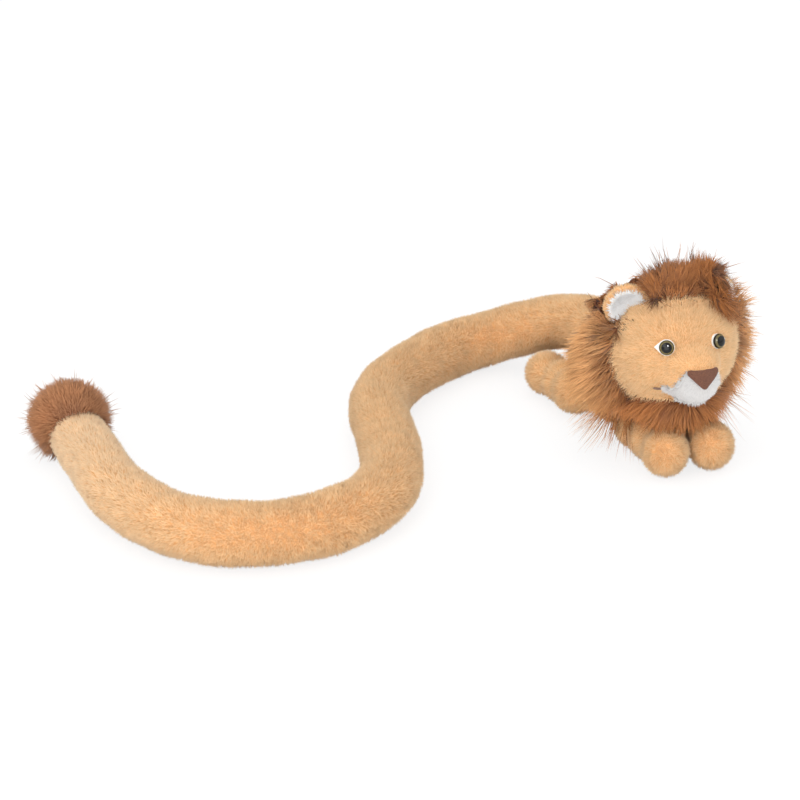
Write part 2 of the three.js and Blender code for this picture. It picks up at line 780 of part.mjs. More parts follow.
// The room that the side pads and the nape take, for the bib between them.
function maneAround(grow) {
  const inner = NAPE_WIDTH / 2 - grow;
  const far = MANE_WIDTH;
  const between = block(
    new THREE.Vector3(-inner, -far, -far),
    new THREE.Vector3(inner, -NAPE_AHEAD - grow, far),
  );
  return cut(maneForm(grow), between);
}

function makeHead() {
  const group = new THREE.Group();
  group.applyMatrix4(headFrame);
  group.add(...makeHeadBody(), ...makeSnout(), ...makeEyes(), ...makeEars(), ...makeMane());
  return group;
}

function makeNeck() {
  const group = new THREE.Group();
  group.position.copy(neckPlace);
  group.add(meshOf("neck", ball(NECK_RADIUS, ORIGIN), stuffing));
  return group;
}

// The tail's radius and the height of its axis at a length along it, from the rump.
const TAIL_LENGTH = TAIL_ROOT_LENGTH + TAIL_TURNS.length * TAIL_SECTION_LENGTH;

function tailRadius(run) {
  const narrowed = THREE.MathUtils.clamp((run - TAIL_LENGTH + TAIL_TAPER) / TAIL_TAPER, 0, 1);
  return THREE.MathUtils.lerp(TAIL_RADIUS, TAIL_TIP_RADIUS, narrowed);
}

function tailAxisHeight(run) {
  const lying = tailRadius(run) - FLATTENED;
  const down = Math.min(run / TAIL_DROP, 1);
  return lying + ((TAIL_HEIGHT - lying) * (1 + Math.cos(Math.PI * down))) / 2;
}

// A piece of the tail in its own frame: it starts at zero along +Y and bends evenly to the right.
function tailAxis(start, length, turn) {
  return (along) => {
    const angle = turn * (along / length);
    const bow = turn === 0 ? 0 : length / turn;
    const x = turn === 0 ? 0 : -bow * (1 - Math.cos(angle));
    const y = turn === 0 ? along : bow * Math.sin(angle);
    const z = tailAxisHeight(start + along) - tailAxisHeight(start);
    return { point: new THREE.Vector3(x, y, z), angle };
  };
}

// Rings of one tube, closed by a point at each end.
function tube(rings) {
  const vertices = [];
  const faces = [];
  for (const { centre, aim, radius } of rings) {
    const side = new THREE.Vector3().crossVectors(aim, Z).normalize();
    const up = new THREE.Vector3().crossVectors(side, aim).normalize();
    for (let k = 0; k < TUBE_AROUND; k++) {
      const angle = (2 * Math.PI * k) / TUBE_AROUND;
      const spoke = side.clone().multiplyScalar(Math.cos(angle) * radius);
      spoke.addScaledVector(up, Math.sin(angle) * radius).add(centre);
      vertices.push(spoke.x, spoke.y, spoke.z);
    }
  }
  for (let r = 0; r + 1 < rings.length; r++) {
    for (let k = 0; k < TUBE_AROUND; k++) {
      const a = r * TUBE_AROUND + k;
      const b = r * TUBE_AROUND + ((k + 1) % TUBE_AROUND);
      faces.push(a, a + TUBE_AROUND, b, b, a + TUBE_AROUND, b + TUBE_AROUND);
    }
  }
  const first = vertices.length / 3;
  const ends = [rings[0], rings[rings.length - 1]];
  ends.forEach(({ centre }) => vertices.push(centre.x, centre.y, centre.z));
  const lastRing = (rings.length - 1) * TUBE_AROUND;
  for (let k = 0; k < TUBE_AROUND; k++) {
    const next = (k + 1) % TUBE_AROUND;
    faces.push(first, k, next);
    faces.push(first + 1, lastRing + next, lastRing + k);
  }
  return new THREE.BufferGeometry()
    .setAttribute("position", new THREE.Float32BufferAttribute(vertices, 3))
    .setIndex(faces);
}

// Rings of half a ball over an end of a tube, ahead of it or behind it; the last closes flat.
function capRings({ centre, aim, radius }, side) {
  return Array.from({ length: CAP_STEPS }, (_, i) => {
    const angle = (Math.PI / 2) * ((i + 1) / (CAP_STEPS + 0.5));
    return {
      centre: centre.clone().addScaledVector(aim, side * radius * Math.sin(angle)),
      aim,
      radius: radius * Math.cos(angle),
    };
  });
}

function tailRings(start, from, length, turn) {
  const axis = tailAxis(start, length, turn);
  const count = Math.max(3, Math.ceil(THREE.MathUtils.radToDeg(Math.abs(turn)) / DEGREES_PER_RING));
  return Array.from({ length: count + 1 }, (_, i) => {
    const along = from + ((length - from) * i) / count;
    const ahead = axis(along + PROBE).point;
    const aim = ahead.sub(axis(along - PROBE).point).normalize();
    return { centre: axis(along).point, aim, radius: tailRadius(start + along) };
  });
}

// The root piece is round at both ends. Every other section starts with a cup round the ball before it.
function tailPiece(index, start, length, turn) {
  const isRoot = index === 0;
  const radius = tailRadius(start);
  const cupStart = isRoot ? 0 : radius * Math.tan(radians(TAIL_BEND) / 2) + PLAY;
  const rings = tailRings(start, cupStart, length, turn);
  rings.push(...capRings(rings[rings.length - 1], AHEAD));
  if (isRoot) rings.unshift(...capRings(rings[0], BEHIND).reverse());
  const body = tube(rings);
  const floor = underFloor(ORIGIN, TAIL_SECTION_LENGTH + OVERRUN, -tailAxisHeight(start));
  return isRoot ? cut(body, floor) : cut(body, socket(radius, ORIGIN), floor);
}

// The tuft is pulled over the tail's round end.
function tuftForm(end, turn, run) {
  const height = TUFT_HEIGHT / 2 - FLATTENED - tailAxisHeight(run);
  const centre = new THREE.Vector3(-TUFT_ASIDE, TUFT_BEYOND, height).applyAxisAngle(Z, turn).add(end);
  return egg(TUFT_WIDTH, TUFT_LENGTH, TUFT_HEIGHT, centre, 0, SMALL_AROUND, SMALL_ALONG);
}

// The room that the last section takes in the tuft. It goes right through, so that no hair lies on the tail.
function tailEndRoom(start, length, turn) {
  const rings = tailRings(start, length / 2, length, turn);
  rings.push(...capRings(rings[rings.length - 1], AHEAD));
  rings.forEach((ring) => (ring.radius += PLAY));
  const slot = [OVERRUN, -OVERRUN].map((height) => tube(rings).translate(0, 0, height));
  return geometryOf(wasm.Manifold.hull(slot.map(solidOf)));
}

function makeTail() {
  const root = new THREE.Group();
  root.position.copy(tailPlace);
  root.rotation.z = radians(TAIL_HEADING);
  let group = root;
  let run = 0;
  [TAIL_ROOT_TURN, ...TAIL_TURNS].forEach((degrees, index, turns) => {
    const turn = radians(degrees);
    const length = index === 0 ? TAIL_ROOT_LENGTH : TAIL_SECTION_LENGTH;
    const name = index === 0 ? "tail_root" : `tail_section_${index}`;
    const piece = tailPiece(index, run, length, turn);
    group.add(meshOf(name, piece, tanPlush));
    const end = tailAxis(run, length, turn)(length).point;
    if (index === turns.length - 1) {
      const floor = underFloor(end, TUFT_LENGTH + OVERRUN, -tailAxisHeight(run));
      const tuft = cut(tuftForm(end, turn, run + length), tailEndRoom(run, length, turn), floor);
      group.add(meshOf("tail_tuft", tuft, manePlush));
    }
    run += length;
    const next = new THREE.Group();
    next.position.copy(end);
    next.rotation.z = turn;
    group.add(next);
    group = next;
  });
  return root;
}

const lion = new THREE.Group();
lion.name = "plush_lion";
lion.add(makeTorso(), makeNeck(), makeHead(), ...makeLegs(), makeTail());

export default lion;
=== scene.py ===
# %% [markdown]
# # Plush lion with a very long tail
# The real toy is a stuffed plush animal, sewn from many small pieces. Its skins could be modelled by eye
# and moved into place afterwards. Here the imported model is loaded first, as a fixed frame of bodies and
# joints, so that each piece of plush, felt and plastic lies on its solid from the start and moves with the
# right body. Everything is in metres: +Z is up, the lion looks along -Y, and its left side is +X.

# %% Load the frame
import json
import math
from dataclasses import dataclass

import bpy
import numpy as np
from mathutils import Matrix, Vector
from mathutils.bvhtree import BVHTree


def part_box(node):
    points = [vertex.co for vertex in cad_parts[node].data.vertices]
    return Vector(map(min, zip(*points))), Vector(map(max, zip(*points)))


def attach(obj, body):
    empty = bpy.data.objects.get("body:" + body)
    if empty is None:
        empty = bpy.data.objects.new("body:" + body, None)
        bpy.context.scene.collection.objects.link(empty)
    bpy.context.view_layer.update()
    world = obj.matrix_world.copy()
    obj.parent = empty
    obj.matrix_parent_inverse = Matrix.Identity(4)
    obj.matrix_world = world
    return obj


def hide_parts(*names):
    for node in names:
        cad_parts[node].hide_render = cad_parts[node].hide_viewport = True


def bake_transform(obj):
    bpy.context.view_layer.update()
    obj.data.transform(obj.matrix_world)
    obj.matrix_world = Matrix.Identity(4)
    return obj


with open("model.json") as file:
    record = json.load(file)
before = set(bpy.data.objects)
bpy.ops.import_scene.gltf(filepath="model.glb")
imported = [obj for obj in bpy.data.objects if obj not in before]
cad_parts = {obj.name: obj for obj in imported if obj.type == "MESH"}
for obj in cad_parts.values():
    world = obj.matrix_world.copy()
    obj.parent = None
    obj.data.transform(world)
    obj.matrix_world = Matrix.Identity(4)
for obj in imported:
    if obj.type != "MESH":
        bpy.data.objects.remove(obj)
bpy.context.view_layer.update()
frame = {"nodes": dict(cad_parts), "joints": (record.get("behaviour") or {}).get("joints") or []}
JOINT = {joint["name"]: Vector(joint["pos_m"]) for joint in frame["joints"] if "pos_m" in joint}

# %% [markdown]
# ## Camera
# The photograph looks at the lion from its right and from well above. A camera could be aimed at the toy
# with a constraint. Plain angles are used here, because they say at once how far it looks down and aside,
# and a long lens gives the photograph's mild perspective.

# %% Camera
CAMERA_PLACE = (-0.936, -1.540, 0.850)
CAMERA_DOWN = math.radians(25)
CAMERA_ASIDE = math.radians(25)
LENS = 100  # millimetres
SENSOR = 36  # millimetres

camera = bpy.data.objects.new("camera", bpy.data.cameras.new("camera"))
camera.location = CAMERA_PLACE
camera.rotation_euler = (math.pi / 2 - CAMERA_DOWN, 0, -CAMERA_ASIDE)
camera.data.lens = LENS
camera.data.sensor_width = SENSOR
bpy.context.collection.objects.link(camera)
bpy.context.scene.camera = camera
print("camera at", CAMERA_PLACE, "with a lens of", LENS, "mm")

# %% [markdown]
# ## Lamps and floor
# A product studio lights a soft toy from all round, over a white floor. Small lamps would draw a hard
# shadow behind every strand of pile, so these are large, and the strongest ones stand before the lion and
# on its right. One small lamp is seen only as a reflection and gives the eyes their glint. More light would
# whiten the floor, but bleach the toy too. Instead the floor glows a little to the camera alone, and keeps
# a soft shadow.

# %% Lamps
LION_MIDDLE = Vector((-0.15, 0.0, 0.05))
WORLD_LIGHT = 1.08


def lamp(name, place, size, watts):
    """A square lamp that looks at the middle of the toy."""
    data = bpy.data.lights.new(name, "AREA")
    data.size = size
    data.energy = watts
    found = bpy.data.objects.new(name, data)
    found.location = place
    found.rotation_euler = (LION_MIDDLE - Vector(place)).to_track_quat("-Z", "Y").to_euler()
    bpy.context.collection.objects.link(found)
    print("lamp", name, watts, "W")
    return found


lamp("key", place=(-1.6, -0.9, 1.5), size=1.4, watts=13)
lamp("front", place=(-1.1, -1.9, 0.5), size=1.6, watts=16.5)
lamp("fill", place=(1.5, -1.2, 1.3), size=1.6, watts=4)
lamp("top", place=(-0.2, 0.3, 2.2), size=1.8, watts=6)
glint = lamp("glint", place=(-0.5, -1.7, 1.3), size=0.4, watts=30)
glint.visible_diffuse = False

world = bpy.data.worlds.new("studio")
world.use_nodes = True
sky = world.node_tree.nodes["Background"]
sky.inputs["Color"].default_value = (1, 1, 1, 1)
sky.inputs["Strength"].default_value = WORLD_LIGHT
bpy.context.scene.world = world
bpy.context.scene.view_settings.view_transform = "Standard"


# %% Helpers for node trees
def feed(tree, made, values):
    """Gives a node's inputs, by place or name, a link to a socket or a plain value."""
    for key, value in dict(values).items():
        if isinstance(value, bpy.types.NodeSocket):
            tree.links.new(value, made.inputs[key])
        else:
            made.inputs[key].default_value = value


def node(tree, kind, values=(), **settings):
    """A new node with its settings and its inputs."""
    made = tree.nodes.new(kind)
    for name, value in settings.items():
        setattr(made, name, value)
    feed(tree, made, values)
    return made


def reckon(tree, operation, *values):
    """The result of a math node on sockets or numbers."""
    return node(tree, "ShaderNodeMath", enumerate(values), operation=operation).outputs[0]


def new_material(name):
    """A material with its node tree and its Principled shader."""
    made = bpy.data.materials.new(name)
    made.use_nodes = True
    return made, made.node_tree, made.node_tree.nodes["Principled BSDF"]


# %% Floor
FLOOR_SIZE = 12
FLOOR_SHOWN = 0.8  # how much of the floor is plain white to the camera, so that the shadow stays soft
FLOOR_WHITE = (0.92, 0.92, 0.92, 1)


def floor_material():
    """White card that the camera sees as mostly white light."""
    made, tree, card = new_material("floor_white")
    feed(tree, card, {"Base Color": FLOOR_WHITE, "Roughness": 0.9})
    glow = node(tree, "ShaderNodeEmission").outputs[0]
    seen = node(tree, "ShaderNodeLightPath").outputs["Is Camera Ray"]
    share = reckon(tree, "MULTIPLY", seen, FLOOR_SHOWN)
    mix = node(tree, "ShaderNodeMixShader", {0: share, 1: card.outputs[0], 2: glow})
    feed(tree, tree.nodes["Material Output"], {"Surface": mix.outputs[0]})
    return made


bpy.ops.mesh.primitive_plane_add(size=FLOOR_SIZE)
floor = bpy.context.object
floor.name = "floor"
floor.data.materials.append(floor_material())
print("floor", FLOOR_SIZE, "m wide")

# %% [markdown]
# ## Materials
# A strand of pile is darker at its root, where little light reaches it, and lighter at its tip. No two
# strands have quite the same tone. The plush also gets painted shading: soft lighter and darker patches,
# like those where real pile lies differently and catches the light. A picture of plush could be wrapped
# round the toy, but it would look flat and stretch on a round form. So the colour is worked out for each
# strand, in one node group, and each plush gets its own colours from that group.


# %% Colour of pile
NOISE_LOW = 0.3  # nearly all of the noise lies between these two
NOISE_HIGH = 0.7


def rgb(text):
    """A colour of six hexadecimal digits, as the linear values that a shader takes."""
    parts = [int(text[i : i + 2], 16) / 255 for i in (0, 2, 4)]
    return (*[c / 12.92 if c <= 0.04045 else ((c + 0.055) / 1.055) ** 2.4 for c in parts], 1)


def attribute(tree, name):
    return node(tree, "ShaderNodeAttribute", attribute_name=name).outputs["Fac"]


def mix_colour(tree, share, first, second, blend="MIX"):
    values = {0: share, 6: first, 7: second}
    return node(tree, "ShaderNodeMix", values, data_type="RGBA", blend_type=blend).outputs[2]


def spread_out(tree, value, low, high):
    """A value that runs from 0 at low to 1 at high, and stays there."""
    return node(tree, "ShaderNodeMapRange", {0: value, 1: low, 2: high}).outputs[0]


def noise_on_object(tree, **values):
    """Noise that keeps its place on the object."""
    place = node(tree, "ShaderNodeTexCoord").outputs["Object"]
    return node(tree, "ShaderNodeTexNoise", {"Vector": place, **values}).outputs["Fac"]


def pile_group():
    """Colour of a strand: root to tip, pale gilt tips and painted highlight, a random tone, and patches of
    painted shading.
    """
    group = bpy.data.node_groups.new("pile_colour", "ShaderNodeTree")
    for title in ("Root", "Tip", "Gilt"):
        group.interface.new_socket(title, in_out="INPUT", socket_type="NodeSocketColor")
    for title in ("Uneven", "Patch Scale"):
        group.interface.new_socket(title, in_out="INPUT", socket_type="NodeSocketFloat")
    group.interface.new_socket("Color", in_out="OUTPUT", socket_type="NodeSocketColor")
    given = node(group, "NodeGroupInput").outputs
    along = attribute(group, "along")
    # gilt: real pale tips on the mane, and painted highlight on the tail's end
    gilt = reckon(group, "MULTIPLY", attribute(group, "gilt"), along)
    colour = mix_colour(group, along, given["Root"], given["Tip"])
    colour = mix_colour(group, gilt, colour, given["Gilt"])
    # painted shading: soft lighter and darker patches over the plush
    shade_patches = noise_on_object(group, Scale=given["Patch Scale"], Detail=3.0, Roughness=0.6)
    shade_patches = spread_out(group, shade_patches, NOISE_LOW, NOISE_HIGH)
    both = reckon(group, "ADD", attribute(group, "tone"), shade_patches)
    swing = reckon(group, "SUBTRACT", both, 1.0)
    # Uneven sets how strong both the random tone and the painted shading are
    light = reckon(group, "MULTIPLY_ADD", swing, given["Uneven"], 1.0)
    grey = node(group, "ShaderNodeCombineColor", {"Red": light, "Green": light, "Blue": light})
    colour = mix_colour(group, 1.0, colour, grey.outputs[0], "MULTIPLY")
    feed(group, node(group, "NodeGroupOutput"), {"Color": colour})
    return group


PILE_GROUP = pile_group()
print("node group", PILE_GROUP.name, "with", len(PILE_GROUP.nodes), "nodes")


# %% Plush in its colours
def pile_material(name, root, tip, gilt=None, uneven=0.03, patch=55, sheen=0.25, roughness=0.8):
    """Plush of one colour: rough strands with a soft sheen. Patch is how fine its patches of painted shading
    are.
    """
    made, tree, skin = new_material(name)
    pile = node(tree, "ShaderNodeGroup", node_tree=PILE_GROUP)
    feed(tree, pile, {"Root": rgb(root), "Tip": rgb(tip), "Gilt": rgb(gilt or tip)})
    feed(tree, pile, {"Uneven": uneven, "Patch Scale": patch})
    feed(tree, skin, {"Base Color": pile.outputs["Color"], "Roughness": roughness})
    feed(tree, skin, {"Specular IOR Level": 0.25, "Sheen Weight": sheen, "Sheen Roughness": 0.5})
    print("plush", name)
    return made


BROWN = dict(uneven=0.3, sheen=0.1, roughness=0.6)
# The tan plush's gilt colour is used only as the painted highlight at the tail's end.
TAN = pile_material("tan_pile", "ebb278", "fcd6a5", gilt="ffe4c2", uneven=0.15, patch=110, sheen=0.1)
WHITE = pile_material("white_pile", "d2d0ce", "e9e7e6")
# The ear's lining is the same white plush as the muzzle, painted lighter to make up for the shade in the
# ear's hollow.
EAR_WHITE_PAINTED_LIGHTER = pile_material("ear_pile", "f8f5f3", "ffffff")
MANE = pile_material("mane_pile", "74401e", "c68046", gilt="e4ae76", patch=45, **BROWN)
TUFT = pile_material("tuft_pile", "86502f", "c98f63", gilt="dcb080", patch=60, **BROWN)

# %% [markdown]
# ## Strands
# Real pile is thousands of fibres that stand in a knitted backing. Blender's hair curves could show them,
# but only a mesh can be handed on as a part. So a strand is a thin closed spike of a few faces, and it is
# repeated. Short pile is one straight spike, and long hair has two more rings, so that it can bend.

# %% One strand
TAPER = 0.6  # below 1, a strand stays thick for most of its height
UV_MARGIN = 0.04


def mesh_object(name, points, faces):
    mesh = bpy.data.meshes.new(name)
    mesh.from_pydata([tuple(p) for p in points], [], faces)
    mesh.update()
    made = bpy.data.objects.new(name, mesh)
    bpy.context.collection.objects.link(made)
    return made


def unfold_strand(mesh, rings, sides):
    """Lays the strand's faces out side by side in the unit square, root at the bottom."""
    layer = mesh.uv_layers.new(name="OFBake")
    for face in mesh.polygons:
        for place, corner in enumerate(face.loop_indices):
            point = mesh.loops[corner].vertex_index
            if face.index == 0:  # the root's own face is never seen, so it gets a small corner
                spot = (0.05 * (place % 2), 0.02 * (place // 2))
            elif point == len(mesh.vertices) - 1:
                spot = (((face.index - 1) % sides + 0.5) / sides, 1)
            else:
                side = (face.index - 1) % sides
                right = 1 if point % sides == (side + 1) % sides else 0
                spot = ((side + right) / sides, point // sides / rings)
            layer.data[corner].uv = [UV_MARGIN + (1 - 2 * UV_MARGIN) * share for share in spot]


def strand(name, rings, bend, sides=3):
    """A closed hair of unit height and thickness on +Z. It narrows to a point and bends towards +X."""
    points, faces, along = [], [], []
    for ring in range(rings):
        height = ring / rings
        wide = (1 - height) ** TAPER
        for side in range(sides):
            angle = 2 * math.pi * side / sides
            points.append((wide * math.cos(angle) + bend * height**2, wide * math.sin(angle), height))
            along.append(height)
    points.append((bend, 0, 1))
    along.append(1)
    faces.append(tuple(reversed(range(sides))))
    for ring in range(rings - 1):
        for side in range(sides):
            a, b = ring * sides + side, ring * sides + (side + 1) % sides
            faces.append((a, b, b + sides, a + sides))
    last = (rings - 1) * sides
    for side in range(sides):
        faces.append((last + side, last + (side + 1) % sides, len(points) - 1))
    made = mesh_object(name, points, faces)
    made.data.attributes.new("along", "FLOAT", "POINT").data.foreach_set("value", along)
    unfold_strand(made.data, rings, sides)
    made.hide_render = True
    print(name, len(faces), "faces")
    return made


SHORT = strand("strand_short", rings=1, bend=0.0)
LONG = strand("strand_long", rings=3, bend=0.3)

# %% [markdown]
# ## Growing the pile
# In a plush mill the pile stands upright at first and is then brushed. Particles could scatter the strands,
# but a tree of geometry nodes keeps every step in sight and gives the same pile on each run. It reads four
# things from the form's points: comb (the way that the pile lies), grow (how thickly), stretch (how long)
# and gilt (how pale the mane's tips are, and how much painted highlight the tail's end gets). The form
# itself stays in the result, as the knitted backing.

# %% Parts of the tree
PILE_SIZES = (
    "Density", "Length", "Thickness", "Uneven Length", "Lean", "Jitter", "Clump", "Clump Scale", "Bend",
    "Droop",
)


def named(tree, name, kind="FLOAT"):
    """A value that is written on the points."""
    found = node(tree, "GeometryNodeInputNamedAttribute", {"Name": name}, data_type=kind)
    return found.outputs["Attribute"]


def stored(tree, geometry, name, value, kind):
    """The strands with a value written on each."""
    values = {"Geometry": geometry, "Name": name, "Value": value}
    made = node(tree, "GeometryNodeStoreNamedAttribute", values, data_type=kind, domain="INSTANCE")
    return made.outputs[0]


def scaled(tree, vector, share):
    return node(tree, "ShaderNodeVectorMath", {0: vector, "Scale": share}, operation="SCALE").outputs[0]


def added(tree, first, second):
    return node(tree, "ShaderNodeVectorMath", {0: first, 1: second}, operation="ADD").outputs[0]


def wander(tree, scale):
    """A smooth vector field between -0.5 and 0.5."""
    place = node(tree, "GeometryNodeInputPosition").outputs[0]
    noise = node(tree, "ShaderNodeTexNoise", {"Vector": place, "Scale": scale, "Detail": 1.0})
    values = {0: noise.outputs["Color"], 1: (0.5, 0.5, 0.5)}
    return node(tree, "ShaderNodeVectorMath", values, operation="SUBTRACT").outputs[0]


def random_share(tree, seed, low):
    """A number between low and 1, another one for each strand."""
    values = {2: low, 3: 1.0, "Seed": seed}
    return node(tree, "FunctionNodeRandomValue", values, data_type="FLOAT").outputs[1]


# %% Laying, sizing and bending the strands
def lying(tree, given, normal):
    """How a strand is turned: partly upright, partly combed, a little astray, and in clumps."""
    way = named(tree, "comb", "FLOAT_VECTOR")
    upright = scaled(tree, normal, reckon(tree, "SUBTRACT", 1.0, given["Lean"]))
    combed = scaled(tree, way, given["Lean"])
    limits = {0: (-1, -1, -1), 1: (1, 1, 1), "Seed": given["Seed"]}
    stray = node(tree, "FunctionNodeRandomValue", limits, data_type="FLOAT_VECTOR").outputs[0]
    stray = scaled(tree, stray, given["Jitter"])
    clump = scaled(tree, wander(tree, given["Clump Scale"]), given["Clump"])
    aim = added(tree, added(tree, upright, combed), added(tree, stray, clump))
    turn = node(tree, "FunctionNodeAlignRotationToVector", {"Vector": aim}, axis="Z").outputs[0]
    values = {"Rotation": turn, "Vector": way}
    facing = node(tree, "FunctionNodeAlignRotationToVector", values, axis="X", pivot_axis="Z")
    return facing.outputs[0]


def strand_size(tree, given):
    """A strand's thickness, twice, and its own length."""
    shortest = reckon(tree, "SUBTRACT", 1.0, given["Uneven Length"])
    share = random_share(tree, reckon(tree, "ADD", given["Seed"], 1.0), shortest)
    length = reckon(tree, "MULTIPLY", given["Length"], share)
    length = reckon(tree, "MULTIPLY", length, named(tree, "stretch"))
    wide = given["Thickness"]
    return node(tree, "ShaderNodeCombineXYZ", {0: wide, 1: wide, 2: length}).outputs[0]


def planted(tree, given, points, normal):
    """Strands on the points, as real mesh, each with a random tone and the backing's normal at its root."""
    source = node(tree, "GeometryNodeObjectInfo", {"Object": given["Strand"]})
    values = {
        "Points": points,
        "Instance": source.outputs["Geometry"],
        "Rotation": lying(tree, given, normal),
        "Scale": strand_size(tree, given),
    }
    strands = node(tree, "GeometryNodeInstanceOnPoints", values).outputs[0]
    tone = random_share(tree, reckon(tree, "ADD", given["Seed"], 2.0), 0.0)
    strands = stored(tree, strands, "tone", tone, "FLOAT")
    strands = stored(tree, strands, "skin", normal, "FLOAT_VECTOR")
    return node(tree, "GeometryNodeRealizeInstances", {0: strands}).outputs[0]


def swayed(tree, given, strands):
    """The strands bent a little aside and down, most at their tips."""
    along = named(tree, "along")
    squared = reckon(tree, "MULTIPLY", along, along)
    aside = reckon(tree, "MULTIPLY", squared, given["Bend"])
    curl = scaled(tree, wander(tree, given["Clump Scale"]), aside)
    fall = reckon(tree, "MULTIPLY", reckon(tree, "MULTIPLY", squared, given["Droop"]), -1.0)
    offset = added(tree, curl, node(tree, "ShaderNodeCombineXYZ", {2: fall}).outputs[0])
    return node(tree, "GeometryNodeSetPosition", {"Geometry": strands, "Offset": offset}).outputs[0]


# %% The tree
def fur_tree():
    """Scatters strands over a form, plants and bends them, and joins them to the form."""
    tree = bpy.data.node_groups.new("grow_pile", "GeometryNodeTree")
    kinds = {"Geometry": "Geometry", "Strand": "Object", "Pile": "Material"}
    kinds.update(dict.fromkeys(PILE_SIZES, "Float"))
    kinds["Seed"] = "Int"
    tree.interface.new_socket("Geometry", in_out="OUTPUT", socket_type="NodeSocketGeometry")
    for name, kind in kinds.items():
        tree.interface.new_socket(name, in_out="INPUT", socket_type="NodeSocket" + kind)
    given = node(tree, "NodeGroupInput").outputs
    density = reckon(tree, "MULTIPLY", named(tree, "grow"), given["Density"])
    values = {"Mesh": given["Geometry"], "Density": density, "Seed": given["Seed"]}
    scatter = node(tree, "GeometryNodeDistributePointsOnFaces", values, distribute_method="RANDOM").outputs
    bare = node(tree, "GeometryNodeRemoveAttribute", {"Geometry": scatter["Points"], "Name": "OFBake"})
    strands = swayed(tree, given, planted(tree, given, bare.outputs[0], scatter["Normal"]))
    coloured = node(tree, "GeometryNodeSetMaterial", {"Geometry": strands, "Material": given["Pile"]})
    both = node(tree, "GeometryNodeJoinGeometry")
    tree.links.new(coloured.outputs[0], both.inputs[0])
    tree.links.new(given["Geometry"], both.inputs[0])
    feed(tree, node(tree, "NodeGroupOutput"), {0: both.outputs[0]})
    return tree


FUR = fur_tree()
print("tree", FUR.name, "with", len(FUR.nodes), "nodes")


def flatten(piece):
    """Applies a piece's modifiers."""
    bpy.context.view_layer.update()
    seen = piece.evaluated_get(bpy.context.evaluated_depsgraph_get())
    mesh = bpy.data.meshes.new_from_object(seen)
    mesh.name = piece.name
    piece.modifiers.clear()
    piece.data = mesh


def grow(base, pile, seed):
    """Grows pile on the form, and makes the form and its pile one plain mesh."""
    values = {
        "Strand": pile.strands,
        "Pile": pile.material,
        "Density": pile.density * 1,
        "Length": pile.length,
        "Thickness": pile.thick,
        "Uneven Length": pile.uneven,
        "Lean": pile.lean,
        "Jitter": pile.jitter,
        "Clump": pile.clump,
        "Clump Scale": pile.clump_scale,
        "Bend": pile.bend,
        "Droop": pile.droop,
        "Seed": seed,
    }
    layer = base.modifiers.new("pile", "NODES")
    layer.node_group = FUR
    for item in FUR.interface.items_tree:
        if item.in_out == "INPUT" and item.name in values:
            layer[item.identifier] = values[item.name]
    base.update_tag()
    flatten(base)


# %% Finishing
FLOOR_CLEARANCE = 0.0004
SKIN_SHARE = 0.75  # how far a strand is lit as the surface that it grows on
TRIANGLES = {}


def vertex_array(mesh, name="co"):
    found = np.zeros(len(mesh.vertices) * 3, np.float32)
    mesh.vertices.foreach_get(name, found)
    return found.reshape(-1, 3)


def shift(piece, steps):
    """Moves a form's points, and keeps them off the floor."""
    points = vertex_array(piece.data) + steps
    points[:, 2] = np.maximum(points[:, 2], FLOOR_CLEARANCE)
    piece.data.vertices.foreach_set("co", points.astype(np.float32).ravel())
    piece.data.update()


def skin_normals(mesh):
    """The backing's normal at each strand's root, on all its points, and zero on the backing itself."""
    found = np.zeros(len(mesh.vertices) * 3, np.float32)
    if "skin" in mesh.attributes:
        mesh.attributes["skin"].data.foreach_get("vector", found)
    return found.reshape(-1, 3)


def unit(vectors):
    return vectors / (np.linalg.norm(vectors, axis=1, keepdims=True) + 1e-9)


def finish_pile(piece):
    """Keeps the pile off the floor, and lights the strands as the surface that they grow on."""
    shift(piece, 0)
    own = vertex_array(piece.data, "normal")
    skin = skin_normals(piece.data)
    strands = np.linalg.norm(skin, axis=1) > 0.5
    own[strands] = SKIN_SHARE * skin[strands] + (1 - SKIN_SHARE) * own[strands]
    piece.data.normals_split_custom_set_from_vertices(unit(own))


def count(piece):
    TRIANGLES[piece.name] = sum(len(face.vertices) - 2 for face in piece.data.polygons)
    print(piece.name, TRIANGLES[piece.name], "triangles")


def settle(piece, body, nodes):
    """The finished piece moves with its body and stands for its solids."""
    finish_pile(piece)
    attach(piece, body)
    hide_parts(*nodes)
    count(piece)


# %% [markdown]
# ## Soft forms
# A stuffed piece is round all over, and its seams are drawn in. It could be sculpted, or blown up as cloth.
# This toy is stuffed firm and has no folds, so each form starts from the solids that the frame holds in its
# place: their union is remeshed, smoothed and drawn in by the height of the pile, and the pile's tips end
# at the frame's outline.

# %% Room between the pieces
PILE_REACH = 0.006


def tree_of(node_name):
    mesh = frame["nodes"][node_name].data
    return BVHTree.FromPolygons([v.co for v in mesh.vertices], [tuple(p.vertices) for p in mesh.polygons])


TREES = {name: (tree_of(name), *(np.array(corner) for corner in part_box(name))) for name in frame["nodes"]}
print(len(TREES), "solids to keep clear of")


def room_above(base, own, reach):
    """The free share of reach along each point's normal, up to the nearest other solid."""
    points, normals = vertex_array(base.data), vertex_array(base.data, "normal")
    room = np.ones(len(points))
    for name, (tree, low, high) in TREES.items():
        if name in own:
            continue
        near = np.flatnonzero(((points > low - reach) & (points < high + reach)).all(1))
        for i in near:
            distance = tree.ray_cast(Vector(points[i]), Vector(normals[i]), reach)[3]
            if distance is not None:
                room[i] = min(room[i], distance / reach)
    return room


